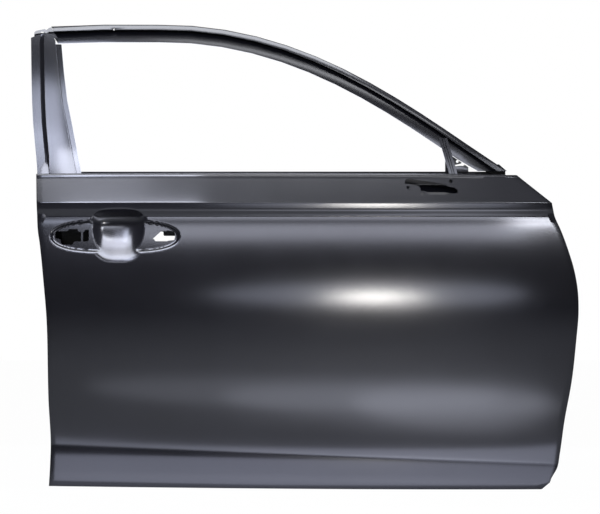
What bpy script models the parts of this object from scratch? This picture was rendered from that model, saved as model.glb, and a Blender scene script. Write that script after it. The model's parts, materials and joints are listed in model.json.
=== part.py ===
"""Right-hand front door shell of a saloon: pressed outer and inner panels, window frame and reinforcements.

Metres, +X to the front of the car, -Y outboard, +Z up.
The origin is the centre of the upper hinge's seat on the inner panel's front wall.
"""

import math

import bmesh
import bpy
import numpy as np
from mathutils import Matrix, Vector

MM = 0.001

# Sheet gauges and the clearances between sheets, in millimetres like every size below.
SKIN_GAUGE = 0.8
INNER_GAUGE = 0.8
FRAME_GAUGE = 1.0
BRACKET_GAUGE = 1.2
GAP = 0.3
HEM_PITCH = 1.3
HEM_WIDTH = 10.0
CORNER_RELIEF = 14.0
FLANGE_INSETS = (1.9, HEM_WIDTH + 2.5)

# Lines of the outer panel.
BELT_Z = 181.0
FEATURE_Z = 118.0
CREASE_REAR_Z = -401.0
CREASE_FALL = 42.0
BOTTOM_REAR_Z = -489.0
BOTTOM_FALL = 7.0
BELT_FLANGE = 12.0
BELT_FLANGE_DROP = 20.0
SILL_STRIP = 45.0
BELT_ROLL = 6.0
BELT_LIP = 5.0
REAR_X = -1117.0
LOWER_REAR_X = -1085.0
FRONT_X = 45.8

# The rear edge and the front edge of the outer panel: height, then how far in from REAR_X or FRONT_X.
REAR_EDGE = (
    (-500, 27), (-489, 28), (-401, 32), (-305, 28), (-133, 25), (-47, 18), (30, 10), (60, 5.5), (118, 3),
    (190, 0),
)
FRONT_EDGE = (
    (-510, 100), (-496, 78), (-487, 64), (-470, 55.5), (-451, 44.3), (-420, 38.5), (-348, 28.8),
    (-262, 13.8), (-176, 4.8), (-112, 0), (-69, 1.8), (-26, 9.3), (17, 22.1), (57, 36.6), (89, 50.5),
    (118, 57.2),
)
FRONT_TOP_X = -89.4

# Curvature of the body side seen from above.
PLAN_CENTRE_X = -560.0
PLAN_RADIUS = 6500.0
NOSE_START_X = -160.0
NOSE_LENGTH = 200.0
NOSE_TURN = 9.0

# Upright section of the skin: height, then the tilt of the surface in degrees, up being positive.
FEATURE_Y = -78.0
CREASE_NOMINAL_Z = -420.0
LOWER_BLEND_Z = -200.0
SECTION_TILT = (
    (-520, -4), (-424, 5), (-416, -6), (-385, -11), (-330, -12), (-250, -9.5), (-180, -6.5), (-130, -3.5),
    (-85, 0), (-40, 3.5), (0, 7), (40, 11), (64, 13), (84, 9), (94, -5), (104, -20), (117, -24),
    (119, 33), (200, 33),
)

# Lines that both panels' grids follow: distances from the crease and the feature line, and shares between.
CREASE_ROWS = (-4.0, 0.0, 4.0, 30.0)
BODY_ROWS = (0.17, 0.32, 0.46, 0.58, 0.68)
FEATURE_ROWS = (-134.0, -104.0, -74.0, -44.0, -14.0, -3.0, 0.0, 3.0, 30.0)
FRONT_COLUMNS = (0.35, 0.44, 0.53, 0.62, 0.71, 0.79, 0.86, 0.92)

# Handle pocket.
POCKET_HALF_LENGTH = 140.0
POCKET_FROM_EDGE = 31.0
POCKET_REAR_X = REAR_X + POCKET_FROM_EDGE
POCKET_X = POCKET_REAR_X + POCKET_HALF_LENGTH
POCKET_FRONT_X = POCKET_X + POCKET_HALF_LENGTH
POCKET_Z = 46.0
POCKET_HALF_HEIGHT = 36.0
POCKET_DEPTH = 7.0
POCKET_WALL = 8.0
BOWL_X = POCKET_X + 7.0
BOWL_Z = 66.0
BOWL_HALF_LENGTH = 66.0
BOWL_ABOVE = 43.0
BOWL_BELOW = 77.0
BOWL_DEPTH = 26.0
POCKET_COLUMNS = 10
POCKET_MARGIN = 4.0

# Inner panel.
MAIN_FACE_Y = 45.0
WALL_TOP_Y = 30.0
WALL_BASE = 13.0
WALL_BEND = 15.0
SILL_STEPS = (17.0, 25.0, 42.0)
HINGE_WALL_X = 0.0
LATCH_WALL_X = -1080.0
BELT_IN_Y = 8.0
BELT_IN_TOP_Z = 186.0
BELT_SLOPE_Z = 74.0
HINGE_SPACING = 300.0
WALL_BELOW_HINGE = 100.0
FRONT_WALL_FOOT_Z = -HINGE_SPACING - WALL_BELOW_HINGE
FRONT_WALL = (
    (FRONT_WALL_FOOT_Z - 100, 62), (FRONT_WALL_FOOT_Z - 40, 20), (FRONT_WALL_FOOT_Z, 0), (45, 0), (75, 20),
    (118, 44), (190, 140),
)
REAR_WALL = ((-500, 14), (-60, 0), (130, 0), (190, -6))

# Openings of the inner panel: corners, or X, Z and radius; the wiring hole's are Y, Z and radius.
SERVICE_HOLE = ((-800, -230), (-330, -250), (-330, 20), (-470, 45), (-800, 20))
LATCH_ACCESS = ((-1020, -200), (-860, -200), (-860, -20), (-1020, -20))
SPEAKER_HOLE = (-205, -330, 82)
TRIM_HOLES = (
    (-600, -330, 16), (-450, -330, 12), (-900, -320, 20), (-270, -60, 10), (-120, -120, 22), (-700, 100, 8),
    (-400, 100, 8),
)
WIRING_HOLE = (-5, 62 - HINGE_SPACING / 2, 13)

# Window frame.
SASH_BELT_Y = -14.0
SASH_TILT = 0.2
SASH_CURVE = 0.00045
FRAME_THICKENING = 0.03
FRAME_FOOT_Z = 190.0
HEADER_REAR = ((-1090, 502), (-1013, 506.5), (-937, 506.5), (-860, 505.4))
HEADER_FRONT = ((-860, 505.4), (-551.7, 509.9), (-331.2, 339.4), (-141.9, 210.6))
HEADER_HEIGHT = 37.0
HEADER_LIP = 11.0
HEADER_BAND = 17.0
HEADER_REAR_SLANT = 0.57
HEADER_FRONT_SLANT = -0.12
HEADER_TUCK = 9.0
HEADER_SEAT = 1.4
DRAIN_HOLE = (-954.6, 496.7, 2.2)
PILLAR_TOP_Z = 476.0
PILLAR_TOP_EDGE = ((-1133.5, 477.5), (-1129, 481), (-1106.6, 487), (-1095.6, 487.4), (-1081.5, 473))
BRACKET_TOP_EDGE = (
    (-1127, 489.8), (-1123, 493), (-1104.5, 496.9), (-1101, 494.6), (-1095, 499.5), (-1090, 500.5),
)
PILLAR_FOOT_Z = 177.0
PILLAR_REAR_EDGE = ((177, -1114.8), (192, -1115.4), (300, -1126), (476, -1133.4))
PILLAR_WINDOW_EDGE = (
    (20, -1000), (187, -1034.6), (219, -1041.3), (293, -1056), (340, -1066), (476, -1082),
)
PILLAR_WALL = 16.0
BEAD_FROM_EDGE = 20.0
BEAD_WIDTH = 8.0
BEAD_DEPTH = 4.0
RUN_WIDTH = 11.0
RUN_DEPTH = 18.0
RUN_LIP = 8.0
RUN_FOOT_Z = 20.0
CORNER_PLATE_LENGTH = 50.0
CORNER_PLATE_FOOT_Z = 167.0
CORNER_PLATE_HOLE = (-211.6, 208.0, 3.2)
CORNER_PLATE_KEYHOLE = (
    (-217, 197.6), (-203, 199), (-199, 197.8), (-196, 200.5), (-196.5, 205), (-201, 206), (-204.5, 203),
    (-217, 200.4),
)
SASH_FOOT_COLUMNS = (
    (-184, 167, 184), (-172, 167, 184), (-152, 167, 184), (-144, 169, 199), (-122, 172, 202),
    (-108, 175, 190),
)
BAR_TOP_Z = 258.0
BAR_BELT_X = -232.0
BAR_SLOPE = 0.283
BAR_WIDTH = 17.0
BAR_GROOVE = 4.0
BAR_FOOT_Z = 40.0
GUIDE_FOOT = 20.0

# Reinforcements.
BEAM_RADIUS = 15.0
BEAM_WALL = 2.4
BEAM_REAR = (-1050.0, -325.0)
BEAM_FRONT = (-18.0, 78.0 - HINGE_SPACING)
BEAM_OFF_SKIN = 14.0
BEAM_BENDS = 6
HINGE_GAUGE = 2.0
HINGE_BOLT_PITCH = 48.0
BOLT_HOLE_RADIUS = 5.0
NUT_ACROSS = 15.0
NUT_HEIGHT = 8.0
LATCH_Z = 35.0
LATCH_MOUTH_Y = (-34.0, 14.0)
LATCH_MOUTH_HALF = 16.0
LATCH_BOLTS = ((-24, 28), (8, 28), (-8, -30))
LATCH_BOLT_RADIUS = 4.0
STRAP_SLOT = (13.0, 17.0)
HINGE_PLATE_Y = (-22.0, 24.0)
HINGE_PLATE_HALF = 38.0
PLATE_MARGIN = 10.0
STIFFENER_Z = -35.0
STIFFENER_STRAIGHT = (-1066.0, -160.0)
STIFFENER_NOSE = (-100.0, -40.0)
OUTER_RAIL_ENDS = (-1060.0, -185.0)
INNER_RAIL_ENDS = (-1000.0, -245.0)


def spline(knots, t):
    """The value at t of the smooth curve through the knots, straight beyond its ends."""
    ts = [k[0] for k in knots]
    vs = [k[1] for k in knots]
    if t <= ts[0]:
        return vs[0]
    if t >= ts[-1]:
        return vs[-1]
    slopes = [0.0] * len(ts)
    steps = [(vs[i + 1] - vs[i]) / (ts[i + 1] - ts[i]) for i in range(len(ts) - 1)]
    slopes[0] = steps[0]
    slopes[-1] = steps[-1]
    for i in range(1, len(ts) - 1):
        slopes[i] = 0.0 if steps[i - 1] * steps[i] <= 0 else (steps[i - 1] + steps[i]) / 2
    i = max(k for k in range(len(ts) - 1) if ts[k] <= t)
    span = ts[i + 1] - ts[i]
    s = (t - ts[i]) / span
    return (
        (2 * s**3 - 3 * s**2 + 1) * vs[i]
        + (s**3 - 2 * s**2 + s) * span * slopes[i]
        + (3 * s**2 - 2 * s**3) * vs[i + 1]
        + (s**3 - s**2) * span * slopes[i + 1]
    )


def straight(knots, t):
    """The value at t on the straight lines between the knots."""
    return float(np.interp(t, [k[0] for k in knots], [k[1] for k in knots]))


def ease(t):
    """0 below 0, 1 above 1, and a smooth step between."""
    t = min(max(t, 0.0), 1.0)
    return t * t * (3 - 2 * t)


def rear_edge_x(z):
    return REAR_X + spline(REAR_EDGE, z)


def front_edge_x(z):
    if z > FEATURE_Z:
        corner = FRONT_X - FRONT_EDGE[-1][1]
        return corner + (FRONT_TOP_X - corner) * (z - FEATURE_Z) / (BELT_Z - FEATURE_Z)
    return FRONT_X - spline(FRONT_EDGE, z)


def across_edge(edge_x, z, distance):
    """The distance along X that puts a point this far from the edge, measured square to it."""
    return distance * math.hypot(1.0, (edge_x(z + 1) - edge_x(z - 1)) / 2)


def crease_z(x):
    """Height of the lower crease, which falls towards the front."""
    return CREASE_REAR_Z - CREASE_FALL * (x - LOWER_REAR_X) / (FRONT_X - LOWER_REAR_X)


def bottom_z(u):
    return BOTTOM_REAR_Z - BOTTOM_FALL * math.sin(u * math.pi / 2)


def belt_z(u):
    """Height of the belt edge, a little crowned along its length."""
    return BELT_Z - 3 + 4 * math.sin(math.pi * min(1.0, 0.15 + 0.85 * u)) ** 0.5


def side_y(x):
    """How far the door's side curves inboard at x, seen from above."""
    return (x - PLAN_CENTRE_X) ** 2 / (2 * PLAN_RADIUS)


def line_z(line, value, u):
    """Height of a line of the skin's grid at u from 0, the rear edge, to 1, the front edge."""
    x = rear_edge_x(CREASE_NOMINAL_Z) * (1 - u) + front_edge_x(CREASE_NOMINAL_Z) * u
    crease = crease_z(x)
    if line == "bottom":
        return bottom_z(u) + value
    if line == "crease":
        return crease + value
    if line == "body":
        return crease + (FEATURE_Z - crease) * value
    if line == "feature":
        return FEATURE_Z + value
    return belt_z(u) + value


def plan_y(x):
    """The skin's own curve seen from above, which turns in further at the front."""
    nose = max(0.0, (x - NOSE_START_X) / NOSE_LENGTH)
    return side_y(x) + NOSE_TURN * nose**2


SECTION_HEIGHTS = np.linspace(SECTION_TILT[0][0], SECTION_TILT[-1][0], 1441)
SECTION_SLOPES = np.tan(np.radians([straight(SECTION_TILT, z) for z in SECTION_HEIGHTS]))
SECTION_RUN = np.concatenate(
    [[0.0], np.cumsum((SECTION_SLOPES[1:] + SECTION_SLOPES[:-1]) / 2 * np.diff(SECTION_HEIGHTS))]
)
SECTION_ZERO = FEATURE_Y - np.interp(FEATURE_Z, SECTION_HEIGHTS, SECTION_RUN)


def section_y(z):
    """Depth of the upright section at height z, from its tilt."""
    return float(SECTION_ZERO + np.interp(z, SECTION_HEIGHTS, SECTION_RUN))


def section_height(x, z):
    """The height in the nominal section that x, z has: the crease's own height stays the nominal one."""
    crease = crease_z(x)
    if z < crease:
        return CREASE_NOMINAL_Z + z - crease
    if z < LOWER_BLEND_Z:
        share = (z - LOWER_BLEND_Z) / (crease - LOWER_BLEND_Z)
        return LOWER_BLEND_Z + share * (CREASE_NOMINAL_Z - LOWER_BLEND_Z)
    return z


def pocket_depth(x, z):
    """Depth of the handle pocket: two flat pads joined by a round bowl for the fingers."""
    dx = abs(x - POCKET_X) + 0.001
    dz = abs(z - POCKET_Z) + 0.001
    across = (dx / POCKET_HALF_LENGTH) ** 3.2
    upright = (dz / POCKET_HALF_HEIGHT) ** 2.2
    steepness = math.hypot(3.2 * across / dx, 2.2 * upright / dz)
    pads = POCKET_DEPTH * ease((1 - across - upright) / steepness / POCKET_WALL)
    half_height = BOWL_ABOVE if z > BOWL_Z else BOWL_BELOW
    reach = abs((x - BOWL_X) / BOWL_HALF_LENGTH) ** 3 + ((z - BOWL_Z) / half_height) ** 2
    bowl = BOWL_DEPTH * max(0.0, 1 - reach) ** 2 * (1 + reach)
    return max(pads, bowl)


def skin_y(x, z):
    """Depth of the middle of the outer sheet."""
    return plan_y(x) + section_y(section_height(x, z)) + pocket_depth(x, z)


def inner_face_y(x, z):
    """Depth of the inner panel's main face, which comes out to the belt at the top."""
    belt = side_y(x) + BELT_IN_Y
    share = ease((z - BELT_SLOPE_Z) / (BELT_IN_TOP_Z - 20 - BELT_SLOPE_Z))
    return MAIN_FACE_Y + (belt - MAIN_FACE_Y) * share


def sash_y(x, z):
    """Depth of the outer face of the window frame, which leans in with the side glass."""
    rise = z - BELT_Z
    return 0.8 * side_y(x) + SASH_BELT_Y + SASH_TILT * rise + SASH_CURVE * rise**2


def sash_inner_y(x, z):
    """Depth of the inboard sheets of the window frame, which stand on the inner panel's belt flange."""
    foot = inner_face_y(x, BELT_IN_TOP_Z) + (INNER_GAUGE + FRAME_GAUGE) / 2 + GAP
    if z < FRAME_FOOT_Z:
        return foot
    return foot + sash_y(x, z) - sash_y(x, FRAME_FOOT_Z) + FRAME_THICKENING * (z - FRAME_FOOT_Z)


def bezier(points, t):
    """Point at t on the cubic curve of four control points."""
    a, b, c, d = (np.array(p, float) for p in points)
    return (1 - t) ** 3 * a + 3 * (1 - t) ** 2 * t * b + 3 * (1 - t) * t**2 * c + t**3 * d


def header_point(t, inward, slant=0.0):
    """X, Z at t from 0 to 2 along the header's outer edge, moved inward and, by the slant, along."""
    curve, local = (HEADER_REAR, t) if t < 1 else (HEADER_FRONT, t - 1)
    here = bezier(curve, local)
    ahead = bezier(curve, local + 0.001) - bezier(curve, local - 0.001)
    ahead /= np.hypot(*ahead)
    down = np.array((ahead[1], -ahead[0]))
    return here + down * inward + ahead * inward * slant


def header_z(x, inward):
    """Height of the line this far inward from the header's outer edge, above x."""
    line = np.array([header_point(t, inward) for t in np.linspace(0, 2, 121)])
    return float(np.interp(x, line[:, 0], line[:, 1]))


def principled(name, colour, roughness, metallic=0.0):
    """A painted or plated metal material."""
    made = bpy.data.materials.new(name)
    made.use_nodes = True
    shader = made.node_tree.nodes["Principled BSDF"]
    shader.inputs["Base Color"].default_value = (*colour, 1.0)
    shader.inputs["Roughness"].default_value = roughness
    shader.inputs["Metallic"].default_value = metallic
    return made


def clear_scene():
    for obj in list(bpy.data.objects):
        bpy.data.objects.remove(obj, do_unlink=True)


def new_collection(name):
    made = bpy.data.collections.new(name)
    bpy.context.scene.collection.children.link(made)
    return made


def add_object(name, mesh, finish, collection):
    """An object of this mesh, in its collection and with its finish."""
    obj = bpy.data.objects.new(name, mesh)
    collection.objects.link(obj)
    if finish is not None:
        mesh.materials.append(finish)
    return obj


def bent_sheet(name, columns, rows, place, gauge, finish, collection, skip=None, refine=None):
    """A grid bent so that place(column, row) gives each corner in millimetres, thickened to its gauge."""
    bm = bmesh.new()
    bmesh.ops.create_grid(bm, x_segments=len(columns) - 1, y_segments=len(rows) - 1, size=1.0)
    at = {}
    for vert in bm.verts:
        i = round((vert.co.x + 1) / 2 * (len(columns) - 1))
        j = round((vert.co.y + 1) / 2 * (len(rows) - 1))
        at[vert] = (i, j)
    if skip is not None:
        lowest = {f: [min(at[v][axis] for v in f.verts) for axis in (0, 1)] for f in bm.faces}
        dropped = [f for f in bm.faces if skip(*lowest[f])]
        bmesh.ops.delete(bm, geom=dropped, context="FACES")
    for vert in bm.verts:
        i, j = at[vert]
        vert.co = Vector(place(columns[i], rows[j])) * MM
    if refine is not None:
        refine(bm)
    mesh = bpy.data.meshes.new(name)
    bm.to_mesh(mesh)
    bm.free()
    mesh.shade_smooth()
    mesh.set_sharp_from_angle(angle=math.radians(35))
    obj = add_object(name, mesh, finish, collection)
    solidify = obj.modifiers.new("gauge", "SOLIDIFY")
    solidify.thickness = gauge * MM
    solidify.offset = 0.0
    solidify.use_even_offset = True
    return obj


def outline_curve(name, outlines, half_depth):
    """A flat curve of closed outlines in millimetres, with depth to both sides; inner outlines are holes."""
    curve = bpy.data.curves.new(name, "CURVE")
    curve.dimensions = "2D"
    curve.fill_mode = "BOTH"
    curve.extrude = half_depth * MM
    for outline in outlines:
        line = curve.splines.new("POLY")
        line.points.add(len(outline) - 1)
        for point, (a, b) in zip(line.points, outline):
            point.co = (a * MM, b * MM, 0.0, 1.0)
        line.use_cyclic_u = True
    return curve


def solid_of_outline(name, outlines, half_depth, matrix):
    """The mesh of an extruded outline, with welded caps, placed by the matrix."""
    curve = outline_curve(name, outlines, half_depth)
    holder = bpy.data.objects.new(name + "_curve", curve)
    bpy.context.scene.collection.objects.link(holder)
    holder.matrix_world = matrix
    bpy.context.view_layer.update()
    graph = bpy.context.evaluated_depsgraph_get()
    mesh = bpy.data.meshes.new_from_object(holder.evaluated_get(graph))
    bm = bmesh.new()
    bm.from_mesh(mesh)
    bmesh.ops.remove_doubles(bm, verts=bm.verts, dist=0.00001)
    bmesh.ops.recalc_face_normals(bm, faces=bm.faces)
    bmesh.ops.transform(bm, matrix=matrix, verts=bm.verts)
    bm.to_mesh(mesh)
    bm.free()
    mesh.name = name
    bpy.data.objects.remove(holder, do_unlink=True)
    return mesh


FACE_SIDE = Matrix(((1, 0, 0, 0), (0, 0, -1, 0), (0, 1, 0, 0), (0, 0, 0, 1)))
FACE_FRONT = Matrix(((0, 0, 1, 0), (1, 0, 0, 0), (0, 1, 0, 0), (0, 0, 0, 1)))


def side_plane(y):
    """Outlines in X, Z, standing at this depth."""
    return Matrix.Translation((0, y * MM, 0)) @ FACE_SIDE


def front_plane(x):
    """Outlines in Y, Z, standing at this length."""
    return Matrix.Translation((x * MM, 0, 0)) @ FACE_FRONT


def circle(cx, cz, radius, count=16):
    """The corners of a round hole's outline."""
    turns = [2 * math.pi * (k + 0.5) / count for k in range(count)]
    return [(cx + radius * math.cos(a), cz + radius * math.sin(a)) for a in turns]


def rounded(corners, radius, steps=3):
    """The outline through these corners with each one rounded by an arc."""
    found = []
    count = len(corners)
    for k, corner in enumerate(corners):
        here = Vector(corner)
        back = Vector(corners[k - 1]) - here
        ahead = Vector(corners[(k + 1) % count]) - here
        reach = min(radius, back.length * 0.45, ahead.length * 0.45)
        start = here + back.normalized() * reach
        end = here + ahead.normalized() * reach
        for s in range(steps + 1):
            t = s / steps
            found.append(tuple((1 - t) ** 2 * start + 2 * t * (1 - t) * here + t**2 * end))
    return found


def cut(obj, outlines, matrix, half_depth, cutters):
    """Cuts the outlines through the object, straight along the matrix's third axis."""
    for k, outline in enumerate(outlines):
        mesh = solid_of_outline(f"{obj.name}_cutter", [outline], half_depth, matrix)
        cutter = add_object(f"{obj.name}_cutter_{len(cutters.objects)}", mesh, None, cutters)
        cutter.hide_render = True
        cutter.display_type = "WIRE"
        boolean = obj.modifiers.new(f"cut_{k}", "BOOLEAN")
        boolean.operation = "DIFFERENCE"
        boolean.object = cutter


def flat_plate(name, outlines, gauge, matrix, finish, collection):
    """A flat blank with its holes."""
    mesh = solid_of_outline(name, outlines, gauge / 2, matrix)
    return add_object(name, mesh, finish, collection)


# Handle holes: X from the pocket's rear or front end, and Z.
REAR_HANDLE_HOLE = (
    (13.2, 57.6), (38.3, 57.6), (39.1, 61.7), (59.7, 61.7), (60.6, 56.3), (74.4, 56.3),
    (75.2, 60.6), (82.8, 60.6), (85.5, 53), (85, 42), (82, 35.3), (53, 35.3),
    (47.5, 28.8), (27, 28.4), (24, 32.3), (23.6, 39), (20, 42), (13.2, 42.2), (11.3, 50),
)
FRONT_HANDLE_HOLE = (
    (-66.7, 52), (-63.2, 53.5), (-54.9, 54), (-52.5, 57.6), (-43, 58.7), (-25.8, 59.1), (-14.9, 57.2),
    (-11.4, 48.8), (-13, 39.1), (-24.6, 37.6), (-27.4, 36), (-53.3, 36), (-55.5, 40), (-63.7, 41),
    (-66.7, 45.2),
)
MIRROR_SLOT = (
    (-327, 159), (-325.5, 167), (-318.4, 171.1), (-308, 169), (-292.6, 166), (-274, 164), (-256.7, 160.8),
    (-241.2, 158.2), (-233, 152.7), (-220.6, 151.1), (-212.4, 144.5), (-213.5, 138.2), (-232, 137.6),
    (-239, 135.2), (-275, 136), (-282, 143.2), (-292.6, 143.8), (-292.6, 149.6), (-300, 155.5), (-314, 158),
)
HANDLE_PLATE_CLEARANCE = 0.2
HANDLE_PLATE_LOW = 25.0
HANDLE_PLATE_HIGH = 67.0
HANDLE_PLATE_BEHIND_BOWL = 7.0
REAR_PLATE_LENGTH = 21.0
REAR_PLATE_RIM = 4.0
REAR_PLATE_WINDOW_Z = (30.0, 62.0)
FRONT_PLATE_START = BOWL_X + BOWL_HALF_LENGTH - 3.0
FRONT_PLATE_LENGTH = 40.0
FRONT_PLATE_WINDOW = ((10, 31), (10, 40.5), (29, 57.5), (46, 57.5), (46, 31))
HANDLE_ROD_HOLE = ((-62, 12), (-6, 12), (-6, 47.7), (-39, 47.7), (-39, 57), (-62, 57))
MIRROR_HOLES = ((-319.2, 150.6, 4.0), (-288.9, 137.2, 4.4), (-227.3, 164, 4.4))


def moved(outline, x):
    """The outline moved along X."""
    return [(x + along, z) for along, z in outline]


def interior(count, start=0.0, stop=1.0):
    return [start + (stop - start) * k / count for k in range(count + 1)]


def pocket_columns():
    """Shares of the door's length for the grid's columns over the handle pocket."""
    rear, front = rear_edge_x(POCKET_Z), front_edge_x(POCKET_Z)
    reach = POCKET_HALF_LENGTH + POCKET_MARGIN
    start, stop = (POCKET_X - reach - rear) / (front - rear), (POCKET_X + reach - rear) / (front - rear)
    return interior(POCKET_COLUMNS, start, stop)


def outer_panel(finish, collection, cutters):
    """The drawn skin with its hems, belt flange, handle pocket and mirror cut-outs."""
    fold = [(HEM_WIDTH + 1, 2 * HEM_PITCH), (1.0, 2 * HEM_PITCH), (0.0, HEM_PITCH), (1.0, 0.0)]
    hem_rear = [(0.0, inset, depth) for inset, depth in fold]
    hem_front = [(1.0, -inset, depth) for inset, depth in reversed(fold)]
    columns = (
        hem_rear
        + [(0.0, CORNER_RELIEF, 0.0)]
        + [(u, 0.0, 0.0) for u in pocket_columns() + list(FRONT_COLUMNS)]
        + [(1.0, -CORNER_RELIEF * 2.5, 0.0), (1.0, -CORNER_RELIEF, 0.0)]
        + hem_front
    )
    rows = (
        [("bottom", inset, depth) for inset, depth in fold]
        + [("bottom", CORNER_RELIEF, 0.0), ("bottom", SILL_STRIP, 0.0)]
        + [("crease", dz, 0.0) for dz in CREASE_ROWS]
        + [("body", share, 0.0) for share in BODY_ROWS]
        + [("feature", dz, 0.0) for dz in FEATURE_ROWS]
        + [("belt", -BELT_LIP, 0.0), ("belt", -1.5, 2.0), ("belt", 0.0, BELT_ROLL)]
        + [("belt", 0.0, BELT_ROLL + BELT_FLANGE - 3), ("belt", -3.0, BELT_ROLL + BELT_FLANGE)]
        + [("belt", -BELT_FLANGE_DROP, BELT_ROLL + BELT_FLANGE)]
    )

    def place(column, row):
        u, dx, depth = column
        z = line_z(row[0], row[1], u)
        x = rear_edge_x(z) * (1 - u) + front_edge_x(z) * u
        x += across_edge(front_edge_x, z, dx) if u == 1.0 else dx
        if row[0] != "belt":
            return x, skin_y(x, z) + max(depth, row[2]), z
        edge = belt_z(u) - BELT_LIP
        return x, skin_y(x, edge) + row[2] + depth, z

    last_column = len(columns) - 1
    last_row = len(rows) - 1

    def skip(i, j):
        """Whether the face after column i and row j is left out, as the blank's corners are notched."""
        from_side = min(i, last_column - 1 - i)
        from_top = last_row - 1 - j
        if from_side < 2:
            return j < 4 or from_top < 6
        if from_side < 4:
            return j < 2 or from_top < 4
        return from_side < 6 and from_top < 2

    def near_pocket(vert):
        x, z = vert.co.x / MM, vert.co.z / MM
        low, high = FEATURE_Z + FEATURE_ROWS[0] - 1, FEATURE_Z + FEATURE_ROWS[4] + 1
        beside = abs(x - POCKET_X) < POCKET_HALF_LENGTH + POCKET_MARGIN + 5
        return beside and x > rear_edge_x(z) + HEM_WIDTH + 2 and low < z < high

    def refine(bm):
        edges = [e for e in bm.edges if all(near_pocket(v) for v in e.verts)]
        made = bmesh.ops.subdivide_edges(bm, edges=edges, cuts=2, use_grid_fill=True)
        for item in made["geom_inner"]:
            if isinstance(item, bmesh.types.BMVert):
                item.co.y = skin_y(item.co.x / MM, item.co.z / MM) * MM

    panel = bent_sheet(
        "outer_panel", columns, rows, place, SKIN_GAUGE, finish, collection, skip=skip, refine=refine
    )
    holes = [moved(REAR_HANDLE_HOLE, POCKET_REAR_X), moved(FRONT_HANDLE_HOLE, POCKET_FRONT_X), MIRROR_SLOT]
    holes += [circle(*hole, count=8) for hole in MIRROR_HOLES]
    cut(panel, holes, side_plane(skin_y(POCKET_X, POCKET_Z)), 60.0, cutters)
    return panel


def inner_panel(finish, collection, cutters):
    """The deep-drawn inner panel: hem flange, side walls, main face and belt flange, with its openings."""
    columns = [("rear", 0), ("rear", 1), ("rear", 2), ("rear", 3), ("rear", 4)]
    columns += [("across", u) for u in pocket_columns()[2::3] + list(FRONT_COLUMNS)]
    columns += [("front", 4), ("front", 3), ("front", 2), ("front", 1), ("front", 0)]
    rows = [("bottom", 0), ("bottom", 1), ("bottom", 2), ("bottom", 3), ("bottom", 4)]
    rows += [("crease", dz) for dz in CREASE_ROWS]
    rows += [("body", share) for share in BODY_ROWS]
    rows += [("feature", dz) for dz in FEATURE_ROWS]
    rows += [("top", -20.0), ("top", 0.0)]
    share_of = {"rear": 0.0, "front": 1.0}
    sill = FLANGE_INSETS + SILL_STEPS

    def column_x(column, z):
        kind, value = column
        rear_wall = LATCH_WALL_X + INNER_GAUGE / 2 + straight(REAR_WALL, z)
        front_wall = HINGE_WALL_X - INNER_GAUGE / 2 - straight(FRONT_WALL, z)
        if kind == "across":
            return rear_edge_x(z) * (1 - value) + front_edge_x(z) * value
        if value < 2:
            inset = FLANGE_INSETS[value]
            if kind == "rear":
                return rear_edge_x(z) + inset
            return front_edge_x(z) - across_edge(front_edge_x, z, inset)
        bend = WALL_BEND if value == 4 else 0.0
        return rear_wall + bend if kind == "rear" else front_wall - bend

    def place(column, row):
        u = share_of.get(column[0], column[1])
        ring = column[1] if column[0] != "across" else 4
        if row[0] == "bottom":
            z = bottom_z(u) + sill[row[1]]
            ring = min(ring, row[1])
        else:
            z = BELT_IN_TOP_Z + row[1] if row[0] == "top" else line_z(row[0], row[1], u)
            z = z if ring > 3 else min(z, BELT_Z - 8)
        x = column_x(column, z)
        face = inner_face_y(x, z)
        if ring < 2:
            return x, skin_y(x, z) + HEM_PITCH, z
        if ring == 2:
            return x, skin_y(x, z) + WALL_BASE, z
        if ring == 3:
            return x, min(WALL_TOP_Y, face - 6), z
        return x, face, z

    panel = bent_sheet("inner_panel", columns, rows, place, INNER_GAUGE, finish, collection)
    rod_hole = rounded(moved(HANDLE_ROD_HOLE, POCKET_FRONT_X), 3)
    openings = [rounded(SERVICE_HOLE, 55), rounded(LATCH_ACCESS, 35), rod_hole]
    openings.append(circle(*SPEAKER_HOLE, 24))
    openings += [circle(*hole, 10) for hole in TRIM_HOLES]
    cut(panel, openings, side_plane(MAIN_FACE_Y), 60.0, cutters)
    wall_holes = hinge_bolt_holes() + [strap_slot(), circle(*WIRING_HOLE, 12)]
    cut(panel, wall_holes, front_plane(HINGE_WALL_X), 12.0, cutters)
    cut(panel, latch_holes(), front_plane(LATCH_WALL_X), 12.0, cutters)
    return panel


def hinge_bolt_holes():
    holes = []
    for hinge in (0.0, -HINGE_SPACING):
        for side in (-1, 1):
            holes.append(circle(0.0, hinge + side * HINGE_BOLT_PITCH / 2, BOLT_HOLE_RADIUS, 10))
    return holes


def box_outline(low_a, high_a, low_b, high_b, radius):
    """A rounded rectangle."""
    return rounded([(low_a, low_b), (high_a, low_b), (high_a, high_b), (low_a, high_b)], radius)


def strap_slot():
    middle = -HINGE_SPACING / 2
    across, up = STRAP_SLOT
    return box_outline(-across, across, middle - up, middle + up, 8)


def latch_holes():
    rear, front = LATCH_MOUTH_Y
    mouth = box_outline(rear, front, LATCH_Z - LATCH_MOUTH_HALF, LATCH_Z + LATCH_MOUTH_HALF, 9)
    bolts = [circle(y, LATCH_Z + dz, LATCH_BOLT_RADIUS, 8) for y, dz in LATCH_BOLTS]
    return [mouth] + bolts


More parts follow.
